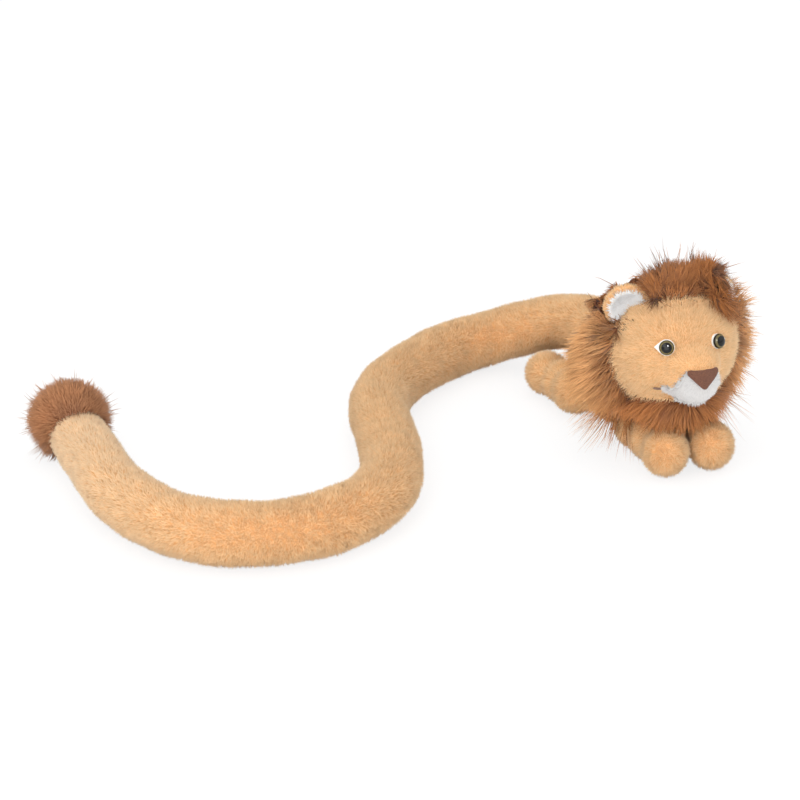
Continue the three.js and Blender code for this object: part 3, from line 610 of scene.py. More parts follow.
# %% Soft copies of the frame's solids
def soft_copy(name, nodes, inset, voxel, smooth):
    """A closed rounded form from the union of solids, drawn in by inset where no neighbour lies on it."""
    points, faces = [], []
    for source in nodes:
        mesh = frame["nodes"][source].data
        first = len(points)
        points += [tuple(v.co) for v in mesh.vertices]
        faces += [tuple(first + i for i in p.vertices) for p in mesh.polygons]
    made = mesh_object(name, points, faces)
    remesh = made.modifiers.new("remesh", "REMESH")
    remesh.mode = "VOXEL"
    remesh.voxel_size = voxel
    rounding = made.modifiers.new("rounding", "SMOOTH")
    rounding.factor = 0.5
    rounding.iterations = smooth
    flatten(made)
    room = room_above(made, nodes, PILE_REACH) if inset > 0 else np.ones(len(made.data.vertices))
    shift(made, -(inset * room)[:, None] * vertex_array(made.data, "normal"))
    return made


# %% Kinds of pile, and how they lie
SHORTEST = 0.3  # of a strand's length, where there is little room


@dataclass
class Pile:
    """One kind of pile: what it is made of, its lengths in metres, and how it lies."""

    strands: bpy.types.Object
    material: bpy.types.Material
    density: float  # strands per square metre
    length: float
    inset: float  # from the frame's outline to the backing
    over: float = 0.001  # how far the longest strands pass the outline
    thick: float = 0.0005
    lean: float = 0.4
    jitter: float = 0.25
    clump: float = 0.35
    clump_scale: float = 90
    uneven: float = 0.4
    bend: float = 0.0
    droop: float = 0.0


def write_on_points(mesh, name, kind, key, values):
    layer = mesh.attributes.get(name) or mesh.attributes.new(name, kind, "POINT")
    layer.data.foreach_set(key, values.astype(np.float32).ravel())


def comb(base, pile, flow, own, reach, gilt=None, bare=None, stretch=None):
    """Writes on the form's points the way that the pile lies, where it grows and how long it is.
    flow gives a direction for each point, bare is 0 where nothing grows, and stretch makes it longer or
    shorter. Where the pile stands out from the form it is cut to end at the outline."""
    mesh = base.data
    points, normals = vertex_array(mesh), vertex_array(mesh, "normal")
    lie = unit(flow(points))
    into = np.minimum(0, (lie * normals).sum(1))
    lie = unit(lie - into[:, None] * normals)
    aim = normals * (1 - pile.lean) + lie * pile.lean
    out = (aim * normals).sum(1) / np.linalg.norm(aim, axis=1)
    long = np.clip((pile.inset + pile.over) / (pile.length * out), SHORTEST, 1)
    room = room_above(base, own, reach)
    thick = np.clip(room * 2 - 0.4, 0, 1)  # nothing grows below a fifth of the room, and all above 0.7
    thick *= bare(points) if bare else 1
    long *= np.clip(room, SHORTEST, 1) * (stretch(points) if stretch else 1)
    write_on_points(mesh, "grow", "FLOAT", "value", thick)
    write_on_points(mesh, "stretch", "FLOAT", "value", long)
    write_on_points(mesh, "gilt", "FLOAT", "value", gilt(points) if gilt else 0 * room)
    write_on_points(mesh, "comb", "FLOAT_VECTOR", "vector", lie)


def plush(name, nodes, pile, flow, seed, voxel=0.003, smooth=4, reach=PILE_REACH, own=None, stretch=None):
    """A soft form in the place of some solids, with its pile grown."""
    piece = soft_copy(name, nodes, pile.inset, voxel, smooth)
    comb(piece, pile, flow, own or nodes, reach, stretch=stretch)
    piece.data.materials.append(pile.material)
    grow(piece, pile, seed)
    return piece


# %% [markdown]
# ## Torso and legs
# The torso is a stuffed bag that lies on its belly, with its pile brushed from the neck to the rump. Each
# leg is a stuffed tube, fuller at the paw, with its pile brushed to the toes. The five could share one
# skin, but then no leg could move, so each has a skin of its own that stops at its joint.

# %% Torso
PLUSH = Pile(
    SHORT, TAN, density=1030000, length=0.008, inset=0.0026, over=0.003, lean=0.14, jitter=0.35, clump=1.0,
    clump_scale=150,
)
TORSO_NODES = ["torso_skin", "torso_stuffing"]


def backwards(points):
    return np.tile([0.0, 1.0, -0.25], (len(points), 1))


torso = plush("torso_plush", TORSO_NODES, PLUSH, backwards, 3, voxel=0.0035)
settle(torso, "torso", TORSO_NODES)


# %% Legs
def away_from(place):
    """The pile runs away from a joint, and a little down."""
    return lambda points: (points - np.array(place)) * [1, 1, 0.3] + [0, 0, -0.004]


def leg(name, joint, seed):
    piece = plush(name.replace("leg", "leg_plush"), [name], PLUSH, away_from(JOINT[joint]), seed)
    settle(piece, name, [name])


for number, side in enumerate(("right", "left")):
    leg(f"front_leg_{side}", f"front_leg_swing_{side}", 10 + number)
    leg(f"hind_leg_{side}", f"hind_leg_swing_{side}", 20 + number)

# %% [markdown]
# ## Head, muzzle and chin
# The head is a stuffed ball with a short snout, and the muzzle and the chin are sewn on in white plush.
# Pile of one length would hide the face's forms. Its lengths could be painted on by hand. A rule does it
# here, because it is even on both sides: the pile runs from the nose up the forehead and back over the
# cheeks, and gets shorter towards the nose and mouth.

# %% The head's own directions
HEAD_CENTRE = np.array([-0.006, -0.086, 0.103])
HEAD_TURN = math.radians(-8)
HEAD_ROUND = np.array(Matrix.Rotation(HEAD_TURN, 3, "Z"))
NOSE_ROOT = np.array([0, -0.062, -0.004])  # from the head's centre, in its own directions
MOUTH = np.array([0, -0.07, -0.008])  # in the same way
MOUTH_REACH = 0.014  # within it the pile is at its shortest
MOUTH_LENGTH = 0.3  # of the pile's full length
CHEEK_REACH = 0.03  # from there the pile gets longer over this much
CHEEK_MORE = 0.35
FACE_HALF_WIDE = 0.054
FACE_HALF_HIGH = 0.05
EDGE_FROM = 0.6  # of the way to the face's edge, where the pile starts to get twice as long
EDGE_OVER = 0.35


def to_head(points):
    return (points - HEAD_CENTRE) @ HEAD_ROUND


def from_nose(points):
    """The pile runs away from the nose, more aside than backwards."""
    local = to_head(points) - NOSE_ROOT
    return (local * [1, 0.6, 1] + [0, 0.004, 0]) @ HEAD_ROUND.T


def face_length(points):
    """The pile is short round the nose and mouth and long at the edge of the face."""
    local = to_head(points)
    edge = np.hypot(local[:, 0] / FACE_HALF_WIDE, local[:, 2] / FACE_HALF_HIGH)
    mouth = np.linalg.norm((local - MOUTH) * [0.8, 1, 1], axis=1)
    length = MOUTH_LENGTH + CHEEK_MORE * np.clip((mouth - MOUTH_REACH) / CHEEK_REACH, 0, 1)
    return length * (1 + np.clip((edge - EDGE_FROM) / EDGE_OVER, 0, 1))


# %% Head
FACE_PLUSH = Pile(
    SHORT, TAN, density=1350000, length=0.008, inset=0.0024, over=0.004, thick=0.00046, lean=0.4, jitter=0.3
)
HEAD_NODES = ["head_skin", "head_stuffing"]
BESIDE_FACE = ["mane_crest", "mane_side_right", "mane_side_left", "mane_bib"]  # the pile grows up to these
head = plush(
    "head_plush", HEAD_NODES, FACE_PLUSH, from_nose, 5, voxel=0.0022, reach=0.003,
    own=HEAD_NODES + BESIDE_FACE, stretch=face_length,
)
settle(head, "head", HEAD_NODES)

# %% Muzzle and chin
MUZZLE_PLUSH = Pile(SHORT, WHITE, density=1900000, length=0.0045, inset=0.002, thick=0.00045, lean=0.55)
for name, seed in (("muzzle", 31), ("chin", 32)):
    own = [name, "head_skin"]
    piece = plush(
        f"{name}_plush", [name], MUZZLE_PLUSH, from_nose, seed, voxel=0.0011, smooth=2, reach=0.0025, own=own
    )
    settle(piece, "head", [name])

# %% [markdown]
# ## Nose and mouth
# The nose is a triangle of brown velour, a little puffed, and a few stitches of dark thread pull the
# corners of the mouth in. Velour has pile too, but so short that strands would cost much and show nothing.
# Fine noise in the colour and in the bump shows as its grain, and thread, felt and the washers' plastic get
# theirs in the same way.

# %% Velour, thread, felt and plastic
GRAIN_DEPTH = 0.0004


def grain_material(name, dark, light, scale, rough, bump, sheen=0.3):
    """A fine grain in two tones, with the same grain as bump."""
    made, tree, skin = new_material(name)
    grain = noise_on_object(tree, Scale=scale, Detail=4.0, Roughness=0.7)
    colour = mix_colour(tree, spread_out(tree, grain, NOISE_LOW, NOISE_HIGH), rgb(dark), rgb(light))
    raised = node(tree, "ShaderNodeBump", {"Height": grain, "Strength": bump, "Distance": GRAIN_DEPTH})
    feed(tree, skin, {"Base Color": colour, "Normal": raised.outputs[0]})
    feed(tree, skin, {"Roughness": rough, "Sheen Weight": sheen})
    print("grain", name)
    return made


VELOUR = grain_material("nose_velour", "3a2017", "78482f", scale=1400, rough=0.85, bump=0.8, sheen=0.05)
THREAD = grain_material("dark_thread", "5a4034", "80604f", scale=2500, rough=0.7, bump=0.6)
FELT = grain_material("white_felt", "dedad2", "f8f6f1", scale=2200, rough=0.9, bump=0.4)
PLASTIC = grain_material("washer_plastic", "cfcfca", "dededa", scale=300, rough=0.5, bump=0.05)


# %% Nose and mouth
def smooth_faces(piece):
    for face in piece.data.polygons:
        face.use_smooth = True


def fasten(piece, node_name):
    """A small piece of the face moves with the head and stands for its solid."""
    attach(piece, "head")
    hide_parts(node_name)
    count(piece)


nose = soft_copy("nose_velour", ["nose"], inset=-0.0005, voxel=0.0006, smooth=14)
nose.data.materials.append(VELOUR)
smooth_faces(nose)
fasten(nose, "nose")

for side in ("right", "left"):
    stitch = f"mouth_stitch_{side}"
    corner = soft_copy(f"mouth_thread_{side}", [stitch], inset=0.0001, voxel=0.0005, smooth=3)
    corner.data.materials.append(THREAD)
    smooth_faces(corner)
    fasten(corner, stitch)

# %% [markdown]
# ## Eyes
# Each eye is a hard dome, dark olive-brown round a black pupil, on a shank that goes through the felt and
# the skin to a washer inside. The felt shows as a white crescent with its point at the outer corner. The
# ring could be a picture, but a rule on the distance from the dome's middle is sharp at any size. The dome
# is turned as on a lathe, about the axis that the frame's own eye has.

# %% Where an eye sits
EYE_RADIUS = 0.00625
EYE_DOME = 0.0045  # height over its flat back
EYE_RIM = 0.0008
EYE_BACK = 0.97  # how wide the flat back is, of the radius
EYE_ARC = 12  # points from the rim to the middle of the dome
WIDEST = 0.9  # of the radius; what lies farther out is the eye's rim


def eye_frame(side):
    """The middle of the eye's flat back, and its directions aside, out and up, from the frame's solid."""
    points = vertex_array(frame["nodes"][f"eye_{side}"].data).astype(float)
    middle = points.mean(0)
    _, _, axes = np.linalg.svd(points - middle)
    out = axes[0] * np.sign(axes[0] @ (middle - HEAD_CENTRE))
    reach = (points - middle) @ out
    from_axis = np.linalg.norm((points - middle) - reach[:, None] * out, axis=1)
    wide = points[from_axis > EYE_RADIUS * WIDEST]
    seat = ((wide - middle) @ out).min()
    centre = middle + seat * out
    aside = np.cross([0, 0, 1], out)
    aside /= np.linalg.norm(aside)
    return centre, aside, out, np.cross(out, aside)


# %% The eye's plastic
PUPIL_SHARE = 0.7  # of the radius, where the pupil ends and the ring starts
PUPIL_SOFT = 0.03
RIM_STARTS = 0.86
RIM_FULL = 0.97


def eye_material():
    """Black pupil, a dark olive ring with fine flecks, a dark rim and a hard gloss."""
    made, tree, skin = new_material("eye_plastic")
    radius = attribute(tree, "radius_share")
    flecks = noise_on_object(tree, Scale=900.0, Detail=3.0)
    ring = mix_colour(tree, flecks, rgb("42391f"), rgb("786c42"))
    inside = spread_out(tree, radius, PUPIL_SHARE - PUPIL_SOFT, PUPIL_SHARE + PUPIL_SOFT)
    colour = mix_colour(tree, inside, rgb("050505"), ring)
    colour = mix_colour(tree, spread_out(tree, radius, RIM_STARTS, RIM_FULL), colour, rgb("0c0b08"))
    feed(tree, skin, {"Base Color": colour, "Roughness": 0.07, "Specular IOR Level": 0.3})
    return made


EYE = eye_material()
print("eye", 2000 * EYE_RADIUS, "mm across")


# %% Domes
def turned(profile, frame_of, around=48):
    """A closed form turned about an axis. The profile's (radius, height) run from the axis to the axis."""
    centre, aside, out, up = frame_of
    points, faces, shares, rows = [], [], [], []
    for radius, height in profile:
        first, spots = len(points), 1 if radius == 0 else around
        for k in range(spots):
            angle = 2 * math.pi * k / around
            spoke = aside * math.cos(angle) + up * math.sin(angle)
            points.append(centre + out * height + radius * spoke)
            shares.append(radius / EYE_RADIUS)
        rows.append([first + k % spots for k in range(around + 1)])
    for low, high in zip(rows, rows[1:]):
        for k in range(around):
            face = [low[k], low[k + 1], high[k + 1], high[k]]
            faces.append(tuple(dict.fromkeys(face)))
    return points, faces, shares


def eye(side):
    """A rim, and a quarter of an oval from it to the middle."""
    arc = [(math.cos(a), math.sin(a)) for a in np.linspace(0, math.pi / 2, EYE_ARC)]
    profile = [(0, 0), (EYE_RADIUS * EYE_BACK, 0), (EYE_RADIUS, EYE_RIM)]
    profile += [(EYE_RADIUS * c, EYE_RIM + (EYE_DOME - EYE_RIM) * s) for c, s in arc[1:-1]]
    profile += [(0, EYE_DOME)]
    points, faces, shares = turned(profile, eye_frame(side))
    dome = mesh_object(f"eye_dome_{side}", points, faces)
    dome.data.attributes.new("radius_share", "FLOAT", "POINT").data.foreach_set("value", shares)
    dome.data.materials.append(EYE)
    smooth_faces(dome)
    fasten(dome, f"eye_{side}")


# %% Both eyes, their felt and their washers
FELT_SHARE = {"right": 1.0, "left": 0.93}  # how wide the felt is, of its solid's width


def draw_in(piece, place, share):
    """Makes a form narrower about an eye's axis."""
    centre, _, out, _ = place
    spokes = vertex_array(piece.data) - centre
    spokes -= (spokes @ out)[:, None] * out
    shift(piece, (share - 1) * spokes)


for side in ("right", "left"):
    eye(side)
    felt = f"eye_felt_{side}"
    white = soft_copy(f"eye_white_{side}", [felt], inset=0.0003, voxel=0.0004, smooth=2)
    draw_in(white, eye_frame(side), FELT_SHARE[side])
    white.data.materials.append(FELT)
    fasten(white, felt)
    washer = frame["nodes"][f"eye_washer_{side}"].data
    washer.materials.clear()
    washer.materials.append(PLASTIC)

# %% [markdown]
# ## Ears
# Each ear is two layers sewn together: a tan back that curls round the edge, and a white lining in the
# hollow. One form with two colours could show that, but the seam would have no depth. Two forms lie in each
# other instead, and the lining's pile stands up past the back's edge.

# %% Ears
EAR_PLUSH = Pile(SHORT, TAN, density=1400000, length=0.006, inset=0.001, over=0.002, lean=0.5)
EAR_LINING = Pile(SHORT, EAR_WHITE_PAINTED_LIGHTER, density=1900000, length=0.009, inset=0.0003, over=0.005, lean=0.45)


def away_from_root(root):
    """The pile of both layers runs outwards from the ear's root."""
    return lambda points: points - root


def ear(side, seed):
    own = [f"ear_back_{side}", f"ear_lining_{side}"]
    root = np.array(JOINT[f"ear_fold_{side}"])
    for name, node_name, pile, voxel, slot in (
        (f"ear_plush_{side}", own[0], EAR_PLUSH, 0.0012, "tan_plush"),
        (f"ear_white_{side}", own[1], EAR_LINING, 0.0008, "white_plush"),
    ):
        outwards = away_from_root(root)
        piece = plush(name, [node_name], pile, outwards, seed, voxel=voxel, smooth=3, own=own)
        settle(piece, f"ear_{side}", [node_name])
        seed += 1


ear("right", 41)
ear("left", 43)

# %% [markdown]
# ## Mane
# The mane is five pads of long brown pile round the face: a crest between the ears, a nape, two sides and a
# bib. One pad all round would be quicker, but on the real toy each pad lies its own way: the crest stands
# up, the nape hangs over the neck, and the rest runs outwards and hangs a little. Every pad grows thick
# hair that ends at the outline, and then some longer loose hairs, which break the outline up. On the sides
# the tips are gilt.


# %% How the mane lies
def from_face(points):
    """Outwards from the face all round, backwards and down."""
    return (unit(to_head(points) * [1, 0, 1]) + [0, 0.6, -0.35]) @ HEAD_ROUND.T


def crest_flow(points):
    """The crest stands up and spreads a little."""
    return (to_head(points) * [0.8, 0, 0] + [0, 0.008, 0.05]) @ HEAD_ROUND.T


def fall_flow(points):
    """Outwards, forwards and down."""
    return np.tile([0.85, -0.4, -0.5], (len(points), 1)) @ HEAD_ROUND.T


def nape_flow(points):
    """Backwards and down, over the neck."""
    return np.tile([0.0, 0.45, -0.9], (len(points), 1)) @ HEAD_ROUND.T


# %% Where the mane is pale, thin, long or short
GILT_FROM = 0.045  # from the head's middle plane, where the tips start to get pale
GILT_OVER = 0.03
LEFT_END_FROM = 0.022  # from the head's middle plane
LEFT_END_OVER = 0.008
NAPE_LONGER = 0.03  # the nape's hair is one length longer for each such step down
NAPE_LENGTHS = (0.6, 2.2)
TOP_THINS = 0.04  # the height over which the left pad would go bare
TOP_LEAST = 0.05
SIDE_HEIGHTS = (-0.055, -0.025, 0.008, 0.032)  # from the head's centre
SIDE_LENGTHS = (0.4, 1, 1, 0.3)


def gilt_edge(points):
    """Pale tips far out on the sides."""
    return np.clip((np.abs(to_head(points)[:, 0]) - GILT_FROM) / GILT_OVER, 0, 1)


def left_end(points):
    """1 on the end of the crest above the left ear, and 0 on the rest."""
    return np.clip((to_head(points)[:, 0] - LEFT_END_FROM) / LEFT_END_OVER, 0, 1)


def long_below(points):
    """The hair of the nape is longer where it hangs over the neck."""
    return np.clip(1.0 - to_head(points)[:, 2] / NAPE_LONGER, *NAPE_LENGTHS)


def thin_top(points):
    """The pad on the left side gets thin towards its top."""
    return np.clip(1.25 - to_head(points)[:, 2] / TOP_THINS, TOP_LEAST, 1)


def short_ends(points):
    """The pad on the right side has shorter hair behind the ear and beside the leg."""
    return np.interp(to_head(points)[:, 2], SIDE_HEIGHTS, SIDE_LENGTHS)


def backing_only(piece):
    """Keeps new pile off the strands that have grown already."""
    skin = skin_normals(piece.data)
    return lambda points: (np.linalg.norm(skin, axis=1) < 0.5).astype(float)


# %% One pad
HAIR = dict(thick=0.0004, jitter=0.2, clump=0.5, clump_scale=60, uneven=0.5, bend=0.012)
PADS = ["mane_crest", "mane_nape", "mane_side_right", "mane_side_left", "mane_bib"]
PAD_REACH = 0.005
LOOSE_LENGTH = 1.25  # of the thick hair's
LOOSE_LEAN = 0.8


def pad(
    node_name, density, inset, length, seed, flow=from_face, lean=0.7, over=0.003, droop=0.003, strays=5000,
    loose_over=0.01, thin=None, stretch=None,
):
    """Thick hair that ends at the outline, and longer, steeper loose hairs that pass it by loose_over.
    thin is 0 where no thick hair grows. stretch makes the thick hair longer or shorter, and where it is
    short the loose hairs are fewer."""
    piece = soft_copy(node_name.replace("mane", "mane_hair"), [node_name], inset, voxel=0.003, smooth=3)
    hair = Pile(LONG, MANE, density, length, inset, over, lean=lean, droop=droop, **HAIR)
    longer, steeper = length * LOOSE_LENGTH, lean * LOOSE_LEAN
    loose = Pile(LONG, MANE, strays, longer, inset, loose_over, lean=steeper, droop=droop, **HAIR)
    piece.data.materials.append(MANE)
    comb(piece, hair, flow, PADS, PAD_REACH, gilt=gilt_edge, bare=thin, stretch=stretch)
    grow(piece, hair, seed)
    on_backing = backing_only(piece)

    def few(points):
        return on_backing(points) * np.minimum(1, stretch(points) if stretch else 1)

    comb(piece, loose, flow, PADS, PAD_REACH, gilt=gilt_edge, bare=few)
    grow(piece, loose, seed + 20)
    return piece


# %% Crest
CREST_DENSITY = 1200000
CREST_INSET = 0.010
FALL = Pile(LONG, MANE, CREST_DENSITY, 0.028, CREST_INSET, over=0.02, lean=0.85, droop=0.006, **HAIR)
FALL_OWN = PADS + ["ear_back_left", "ear_lining_left", "head_skin"]

crest = pad(
    "mane_crest", CREST_DENSITY, CREST_INSET, 0.026, 51, flow=crest_flow, lean=0.62, over=0.002, droop=0,
    strays=26000, loose_over=0.02,
)
crest_backing = backing_only(crest)


def above_left_ear(points):
    return left_end(points) * crest_backing(points)


comb(crest, FALL, fall_flow, FALL_OWN, PAD_REACH, bare=above_left_ear)
grow(crest, FALL, 91)
settle(crest, "head", ["mane_crest"])

# %% Nape, sides and bib
OTHER_PADS = {
    "mane_nape": dict(
        density=380000, inset=0.010, length=0.034, flow=nape_flow, over=0.002, loose_over=0.004,
        stretch=long_below,
    ),
    "mane_side_right": dict(
        density=900000, inset=0.009, length=0.034, over=0.012, loose_over=0.013, stretch=short_ends
    ),
    "mane_side_left": dict(
        density=900000, inset=0.010, length=0.026, strays=22000, thin=thin_top, loose_over=0.016
    ),
    "mane_bib": dict(density=1000000, inset=0.008, length=0.026, strays=9000, loose_over=0.003),
}
for seed, (name, sizes) in enumerate(OTHER_PADS.items(), 52):
    settle(pad(name, seed=seed, **sizes), "head", [name])

# %% [markdown]
# ## Tail
# The tail is one long stuffed tube. One tube with an armature would bend well, but the frame moves stiff
# bodies. So the plush is cut in pieces that meet in the middle of the frame's sections, where nothing
# bends. Each piece is centred on a joint. The first piece moves with the root and the last with the tail's
# end. The pieces over the joints are not bound to a body.

# %% The tail's middle line
TAIL_RADIUS = 0.025
TAIL_TIP_RADIUS = 0.0235
TAIL_TAPER = 0.18  # how much of the tail's length narrows to the tip
TAIL_DROP = 0.153  # how far along it comes down from the rump
TAIL_SECTION = 0.086
TAIL_HEADING = math.radians(3)
TAIL_LOW = 0.0245
STEP = 0.002
STRAIGHT = 1e-4  # an arc that turns less than this, in radians, is a straight line
TAIL_JOINTS = [JOINT["tail_roll"]] + [JOINT[f"tail_bend_{k}"] for k in range(1, 10)]


def arc_between(start, end, heading):
    """The arc from start to end that leaves start on a heading: x, y, headings, length, last heading."""
    chord = (end - start).to_2d()
    turn = 2 * (math.atan2(-chord.x, chord.y) - heading)
    turn = (turn + math.pi) % (2 * math.pi) - math.pi
    curved = abs(turn) > STRAIGHT
    length = chord.length * (turn / 2) / math.sin(turn / 2) if curved else chord.length
    shares = np.arange(0, 1, STEP / length)
    headings = heading + turn * shares
    if curved:
        x = start.x + length * (np.cos(headings) - math.cos(heading)) / turn
        y = start.y + length * (np.sin(headings) - math.sin(heading)) / turn
    else:
        x = start.x - length * shares * math.sin(heading)
        y = start.y + length * shares * math.cos(heading)
    return x, y, headings, length, heading + turn


def tail_line():
    """The tail's middle line: points, headings and the run at each, and the run at each joint."""
    heading, run, marks = TAIL_HEADING, 0.0, [0.0]
    xs, ys, turns, runs = [], [], [], []
    for start, end in zip(TAIL_JOINTS, TAIL_JOINTS[1:] + [None]):
        if end is None:
            end = start + TAIL_SECTION * Vector((-math.sin(heading), math.cos(heading), 0))
        x, y, headings, length, heading = arc_between(start, end, heading)
        xs.append(x)
        ys.append(y)
        turns.append(headings)
        runs.append(run + np.arange(len(x)) * STEP)
        run += length
        marks.append(run)
    x, y, turn, run = (np.concatenate(parts) for parts in (xs, ys, turns, runs))
    down = np.clip(run / TAIL_DROP, 0, 1)
    z = TAIL_LOW + (TAIL_JOINTS[0].z - TAIL_LOW) * (1 + np.cos(np.pi * down)) / 2
    return np.stack([x, y, z], 1), turn, run, marks


LINE, LINE_TURN, LINE_RUN, MARKS = tail_line()
TAIL_RADII = np.interp(LINE_RUN, [MARKS[-1] - TAIL_TAPER, MARKS[-1]], [TAIL_RADIUS, TAIL_TIP_RADIUS])
print("tail", round(MARKS[-1], 3), "m")


# %% Places on the line
# Painted highlight: the tan plush is painted paler towards the tail's end.
HIGHLIGHT_FROM = 0.6  # along the tail
HIGHLIGHT_OVER = 0.2
HIGHLIGHT_MOST = 0.6


def onwards(turn):
    """The direction along the tail at one heading."""
    return np.array([-math.sin(turn), math.cos(turn), 0])


def nearest_on_line(points):
    gaps = np.linalg.norm(points[:, None, :2] - LINE[None, ::2, :2], axis=2)
    return gaps.argmin(1) * 2


def along_tail(points):
    """The pile runs along the tail."""
    turn = LINE_TURN[nearest_on_line(points)]
    return np.stack([-np.sin(turn), np.cos(turn), np.zeros(len(turn))], 1)


def between(start, end):
    """Pile grows only between the piece's two ends."""
    def share(points):
        run = LINE_RUN[nearest_on_line(points)]
        return ((run >= start) & (run <= end)).astype(float)

    return share


def painted_highlight_end(points):
    """Painted highlight: the plush is painted a little paler over the last third of the tail."""
    return HIGHLIGHT_MOST * np.clip((LINE_RUN[nearest_on_line(points)] - HIGHLIGHT_FROM) / HIGHLIGHT_OVER, 0, 1)


# %% The form of one piece
AROUND = 40
ROUND_END = (0.97, 0.85, 0.6, 0.3)  # radii of the rings that close a piece, as shares of its last one
LUMPS = ((0.02, 2, 70, 0), (0.015, 3, -150, 1))  # height in radii, waves round, radians per metre, start


def tail_rings(start, end):
    """Rings of (centre, heading, radius, run) from start to end, and smaller ones that round the ends."""
    inside = (LINE_RUN >= start - STEP) & (LINE_RUN <= end + STEP)
    radii = TAIL_RADII[inside][::2] - PLUSH.inset
    rings = list(zip(LINE[inside][::2], LINE_TURN[inside][::2], radii, LINE_RUN[inside][::2]))
    for place, way in ((0, -1), (-1, 1)):
        centre, turn, radius, run = rings[place]
        for share in ROUND_END:
            reach = way * math.sqrt(1 - share**2)
            ring = (centre + reach * radius * onwards(turn), turn, radius * share, run)
            rings.insert(0 if way < 0 else len(rings), ring)
    return rings


def tail_form(name, start, end):
    """A closed tube between two runs, a little lumpy, as stuffing is, and round at its ends."""
    rings = tail_rings(start, end)
    points, faces = [], []
    for centre, turn, radius, run in rings:
        side = np.array([math.cos(turn), math.sin(turn), 0])
        for k in range(AROUND):
            angle = 2 * math.pi * k / AROUND
            lump = 1
            for height, waves, per_metre, start_angle in LUMPS:
                lump += height * math.sin(waves * angle + per_metre * run + start_angle)
            spoke = side * math.cos(angle) + np.array([0, 0, 1]) * math.sin(angle)
            points.append(centre + radius * lump * spoke)
    for ring in range(len(rings) - 1):
        for k in range(AROUND):
            a, b = ring * AROUND + k, ring * AROUND + (k + 1) % AROUND
            faces.append((a, a + AROUND, b + AROUND, b))
    faces.append(tuple(range(AROUND)))
    faces.append(tuple(reversed(range((len(rings) - 1) * AROUND, len(rings) * AROUND))))
    made = mesh_object(name, points, faces)
    shift(made, 0)
    return made


# %% The tail's pieces
LAST_PIECE = 10
BEND_REACH = 0.022  # from the joint to where a piece would follow one body alone
TURNED_ROUND = (5, 7)  # pieces whose two ends are listed from the far end
TAIL_OWN = ["tail_root", "tail_tuft"] + [f"tail_section_{k}" for k in range(1, 10)]
MIDDLES = [(a + b) / 2 for a, b in zip(MARKS, MARKS[1:])]


def bend_at_joint(piece, number):
    """Finds the two bodies that meet at the piece's joint and where each would take over, and bakes the
    piece's place into its points. The piece is bound to neither.
    """
    joint = np.array(TAIL_JOINTS[number])
    reach = BEND_REACH * onwards(LINE_TURN[nearest_on_line(joint[None])[0]])
    before = "tail_root" if number == 1 else f"tail_{number - 1}"
    ends = [(before, joint - reach), (f"tail_{number}", joint + reach)]
    if number in TURNED_ROUND:
        ends.reverse()
    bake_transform(piece)


def tail_piece(number):
    """Piece 0 lies on the root, pieces 1 to 9 each lie over a joint, and piece 10 is the end, whose pile
    grows over its round end too."""
    start = MIDDLES[number - 1] if number else 0.0
    end = MIDDLES[number] if number < LAST_PIECE else MARKS[-1]
    grows_to = end if number < LAST_PIECE else 2 * end
    piece = tail_form(f"tail_plush_{number}", start, end)
    # the tail's gilt is its painted highlight
    comb(piece, PLUSH, along_tail, TAIL_OWN, PILE_REACH, bare=between(start, grows_to), gilt=painted_highlight_end)
    piece.data.materials.append(TAN)
    grow(piece, PLUSH, 60 + number)
    finish_pile(piece)
    if number == 0:
        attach(piece, "tail_root")
    elif number == LAST_PIECE:
        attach(piece, "tail_9")
    else:
        bend_at_joint(piece, number)
    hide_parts("tail_root" if number == 0 else f"tail_section_{min(number, 9)}")
    count(piece)


for number in range(LAST_PIECE + 1):
    tail_piece(number)

# %% [markdown]
# ## Tuft
# The real tuft is a small bag of long brown pile, pulled over the tail's end. The frame's own tuft could be
# softened as the other pieces are, but it is cut out for the tail, and hair in such a hollow grows in
# folds. A plain egg over the tail's round end is the backing instead. Its hair grows only where it stands
# out of the tail, and points away from that end on all sides.

# %% How the tuft lies
HEADING = onwards(LINE_TURN[-1])
ASIDE = np.cross([0, 0, 1], HEADING)
TUFT_START = LINE[-1] + 0.006 * HEADING  # the point that the hair points away from
TUFT_LOW = 0.035  # below this height the hair turns towards the tail
TAIL_COVERS = 0.0225  # from the tail's middle line


def tuft_flow(points):
    """Outwards from a point in the tail's round end, and low down it turns towards the tail."""
    out = points - TUFT_START
    low = np.clip(1 - points[:, 2] / TUFT_LOW, 0, 1)
    out -= TUFT_LOW * low[:, None] * HEADING
    return unit(out)


def off_tail(piece):
    """The hair grows where its backing stands out of the tail."""
    on_backing = backing_only(piece)

    def share(points):
        gaps = np.linalg.norm(points - LINE[nearest_on_line(points)], axis=1)
        return (gaps > TAIL_COVERS) * on_backing(points)

    return share


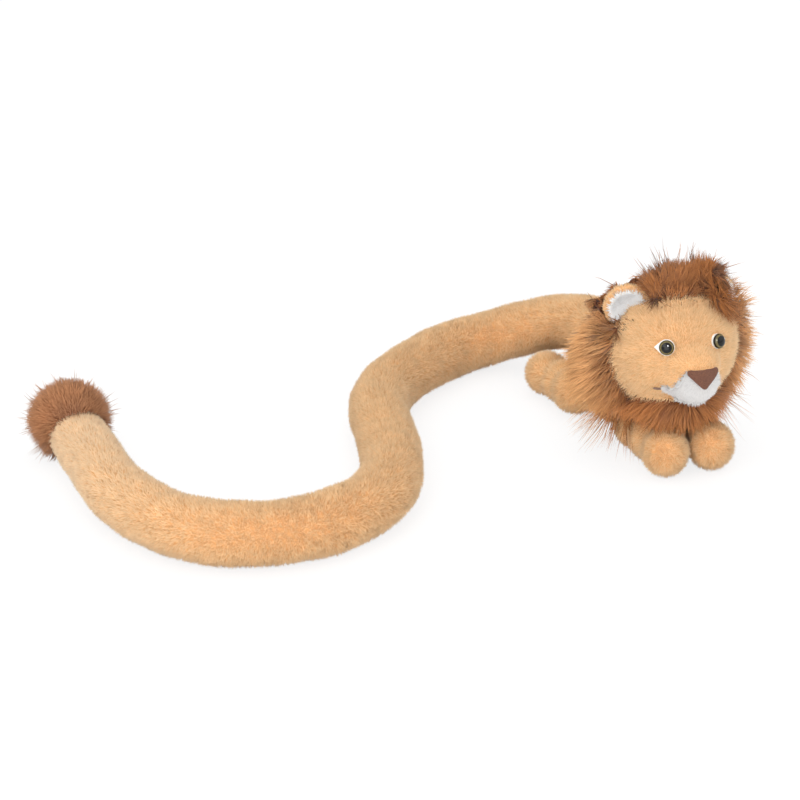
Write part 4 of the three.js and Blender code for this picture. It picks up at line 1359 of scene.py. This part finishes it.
# %% Tuft
EGG_WIDE = 0.0255  # half the backing's width and height
EGG_LONG = 0.025  # half its length
EGG_RINGS = 23
EGG_ASIDE = 0.002  # its middle, from the tail's end
EGG_AHEAD = 0.016
EGG_HEIGHT = 0.033
TUFT_REACH = 0.004
BRUSH = dict(thick=0.0004, jitter=0.2, clump=0.6, clump_scale=75, uneven=0.6, bend=0.008, inset=0.008)
TUFT_HAIR = Pile(LONG, TUFT, density=1500000, length=0.022, over=0.006, lean=0.6, droop=0.001, **BRUSH)
TUFT_LOOSE = Pile(LONG, TUFT, density=40000, length=0.028, over=0.015, lean=0.5, droop=0.002, **BRUSH)
TUFT_OWN = ["tail_tuft", "tail_section_8", "tail_section_9"]

egg_middle = LINE[-1] * [1, 1, 0] + EGG_ASIDE * ASIDE + EGG_AHEAD * HEADING + [0, 0, EGG_HEIGHT]
egg_angles = np.linspace(0, math.pi, EGG_RINGS + 2)[1:-1]
egg = [(EGG_WIDE * math.sin(angle), -EGG_LONG * math.cos(angle)) for angle in egg_angles]
egg = [(0, -EGG_LONG), *egg, (0, EGG_LONG)]
points, faces, _ = turned(egg, (egg_middle, ASIDE, HEADING, np.cross(HEADING, ASIDE)))
tuft = mesh_object("tuft_hair", points, faces)
tuft.data.materials.append(TUFT)
for pile, seed in ((TUFT_HAIR, 80), (TUFT_LOOSE, 81)):
    comb(tuft, pile, tuft_flow, TUFT_OWN, TUFT_REACH, bare=off_tail(tuft))
    grow(tuft, pile, seed)
settle(tuft, "tail_9", ["tail_tuft"])

# %% [markdown]
# ## Neck
# The neck is the soft, short tube of plush between the torso and the head. The head's skin could be drawn
# out over it, but then the face would pull when the head turns. The neck has a skin of its own, and the
# mane hides it except from behind.

# %% Neck
neck = plush("neck_plush", ["neck"], PLUSH, backwards, 90, reach=0.004)
settle(neck, "neck", ["neck"])

# %% [markdown]
# ## Finish
# The two single strands were only patterns, so they go, and the triangles of all pieces are added up.

# %% Finish
for made in (SHORT, LONG):
    bpy.data.objects.remove(made)
print("in all", sum(TRIANGLES.values()), "triangles")
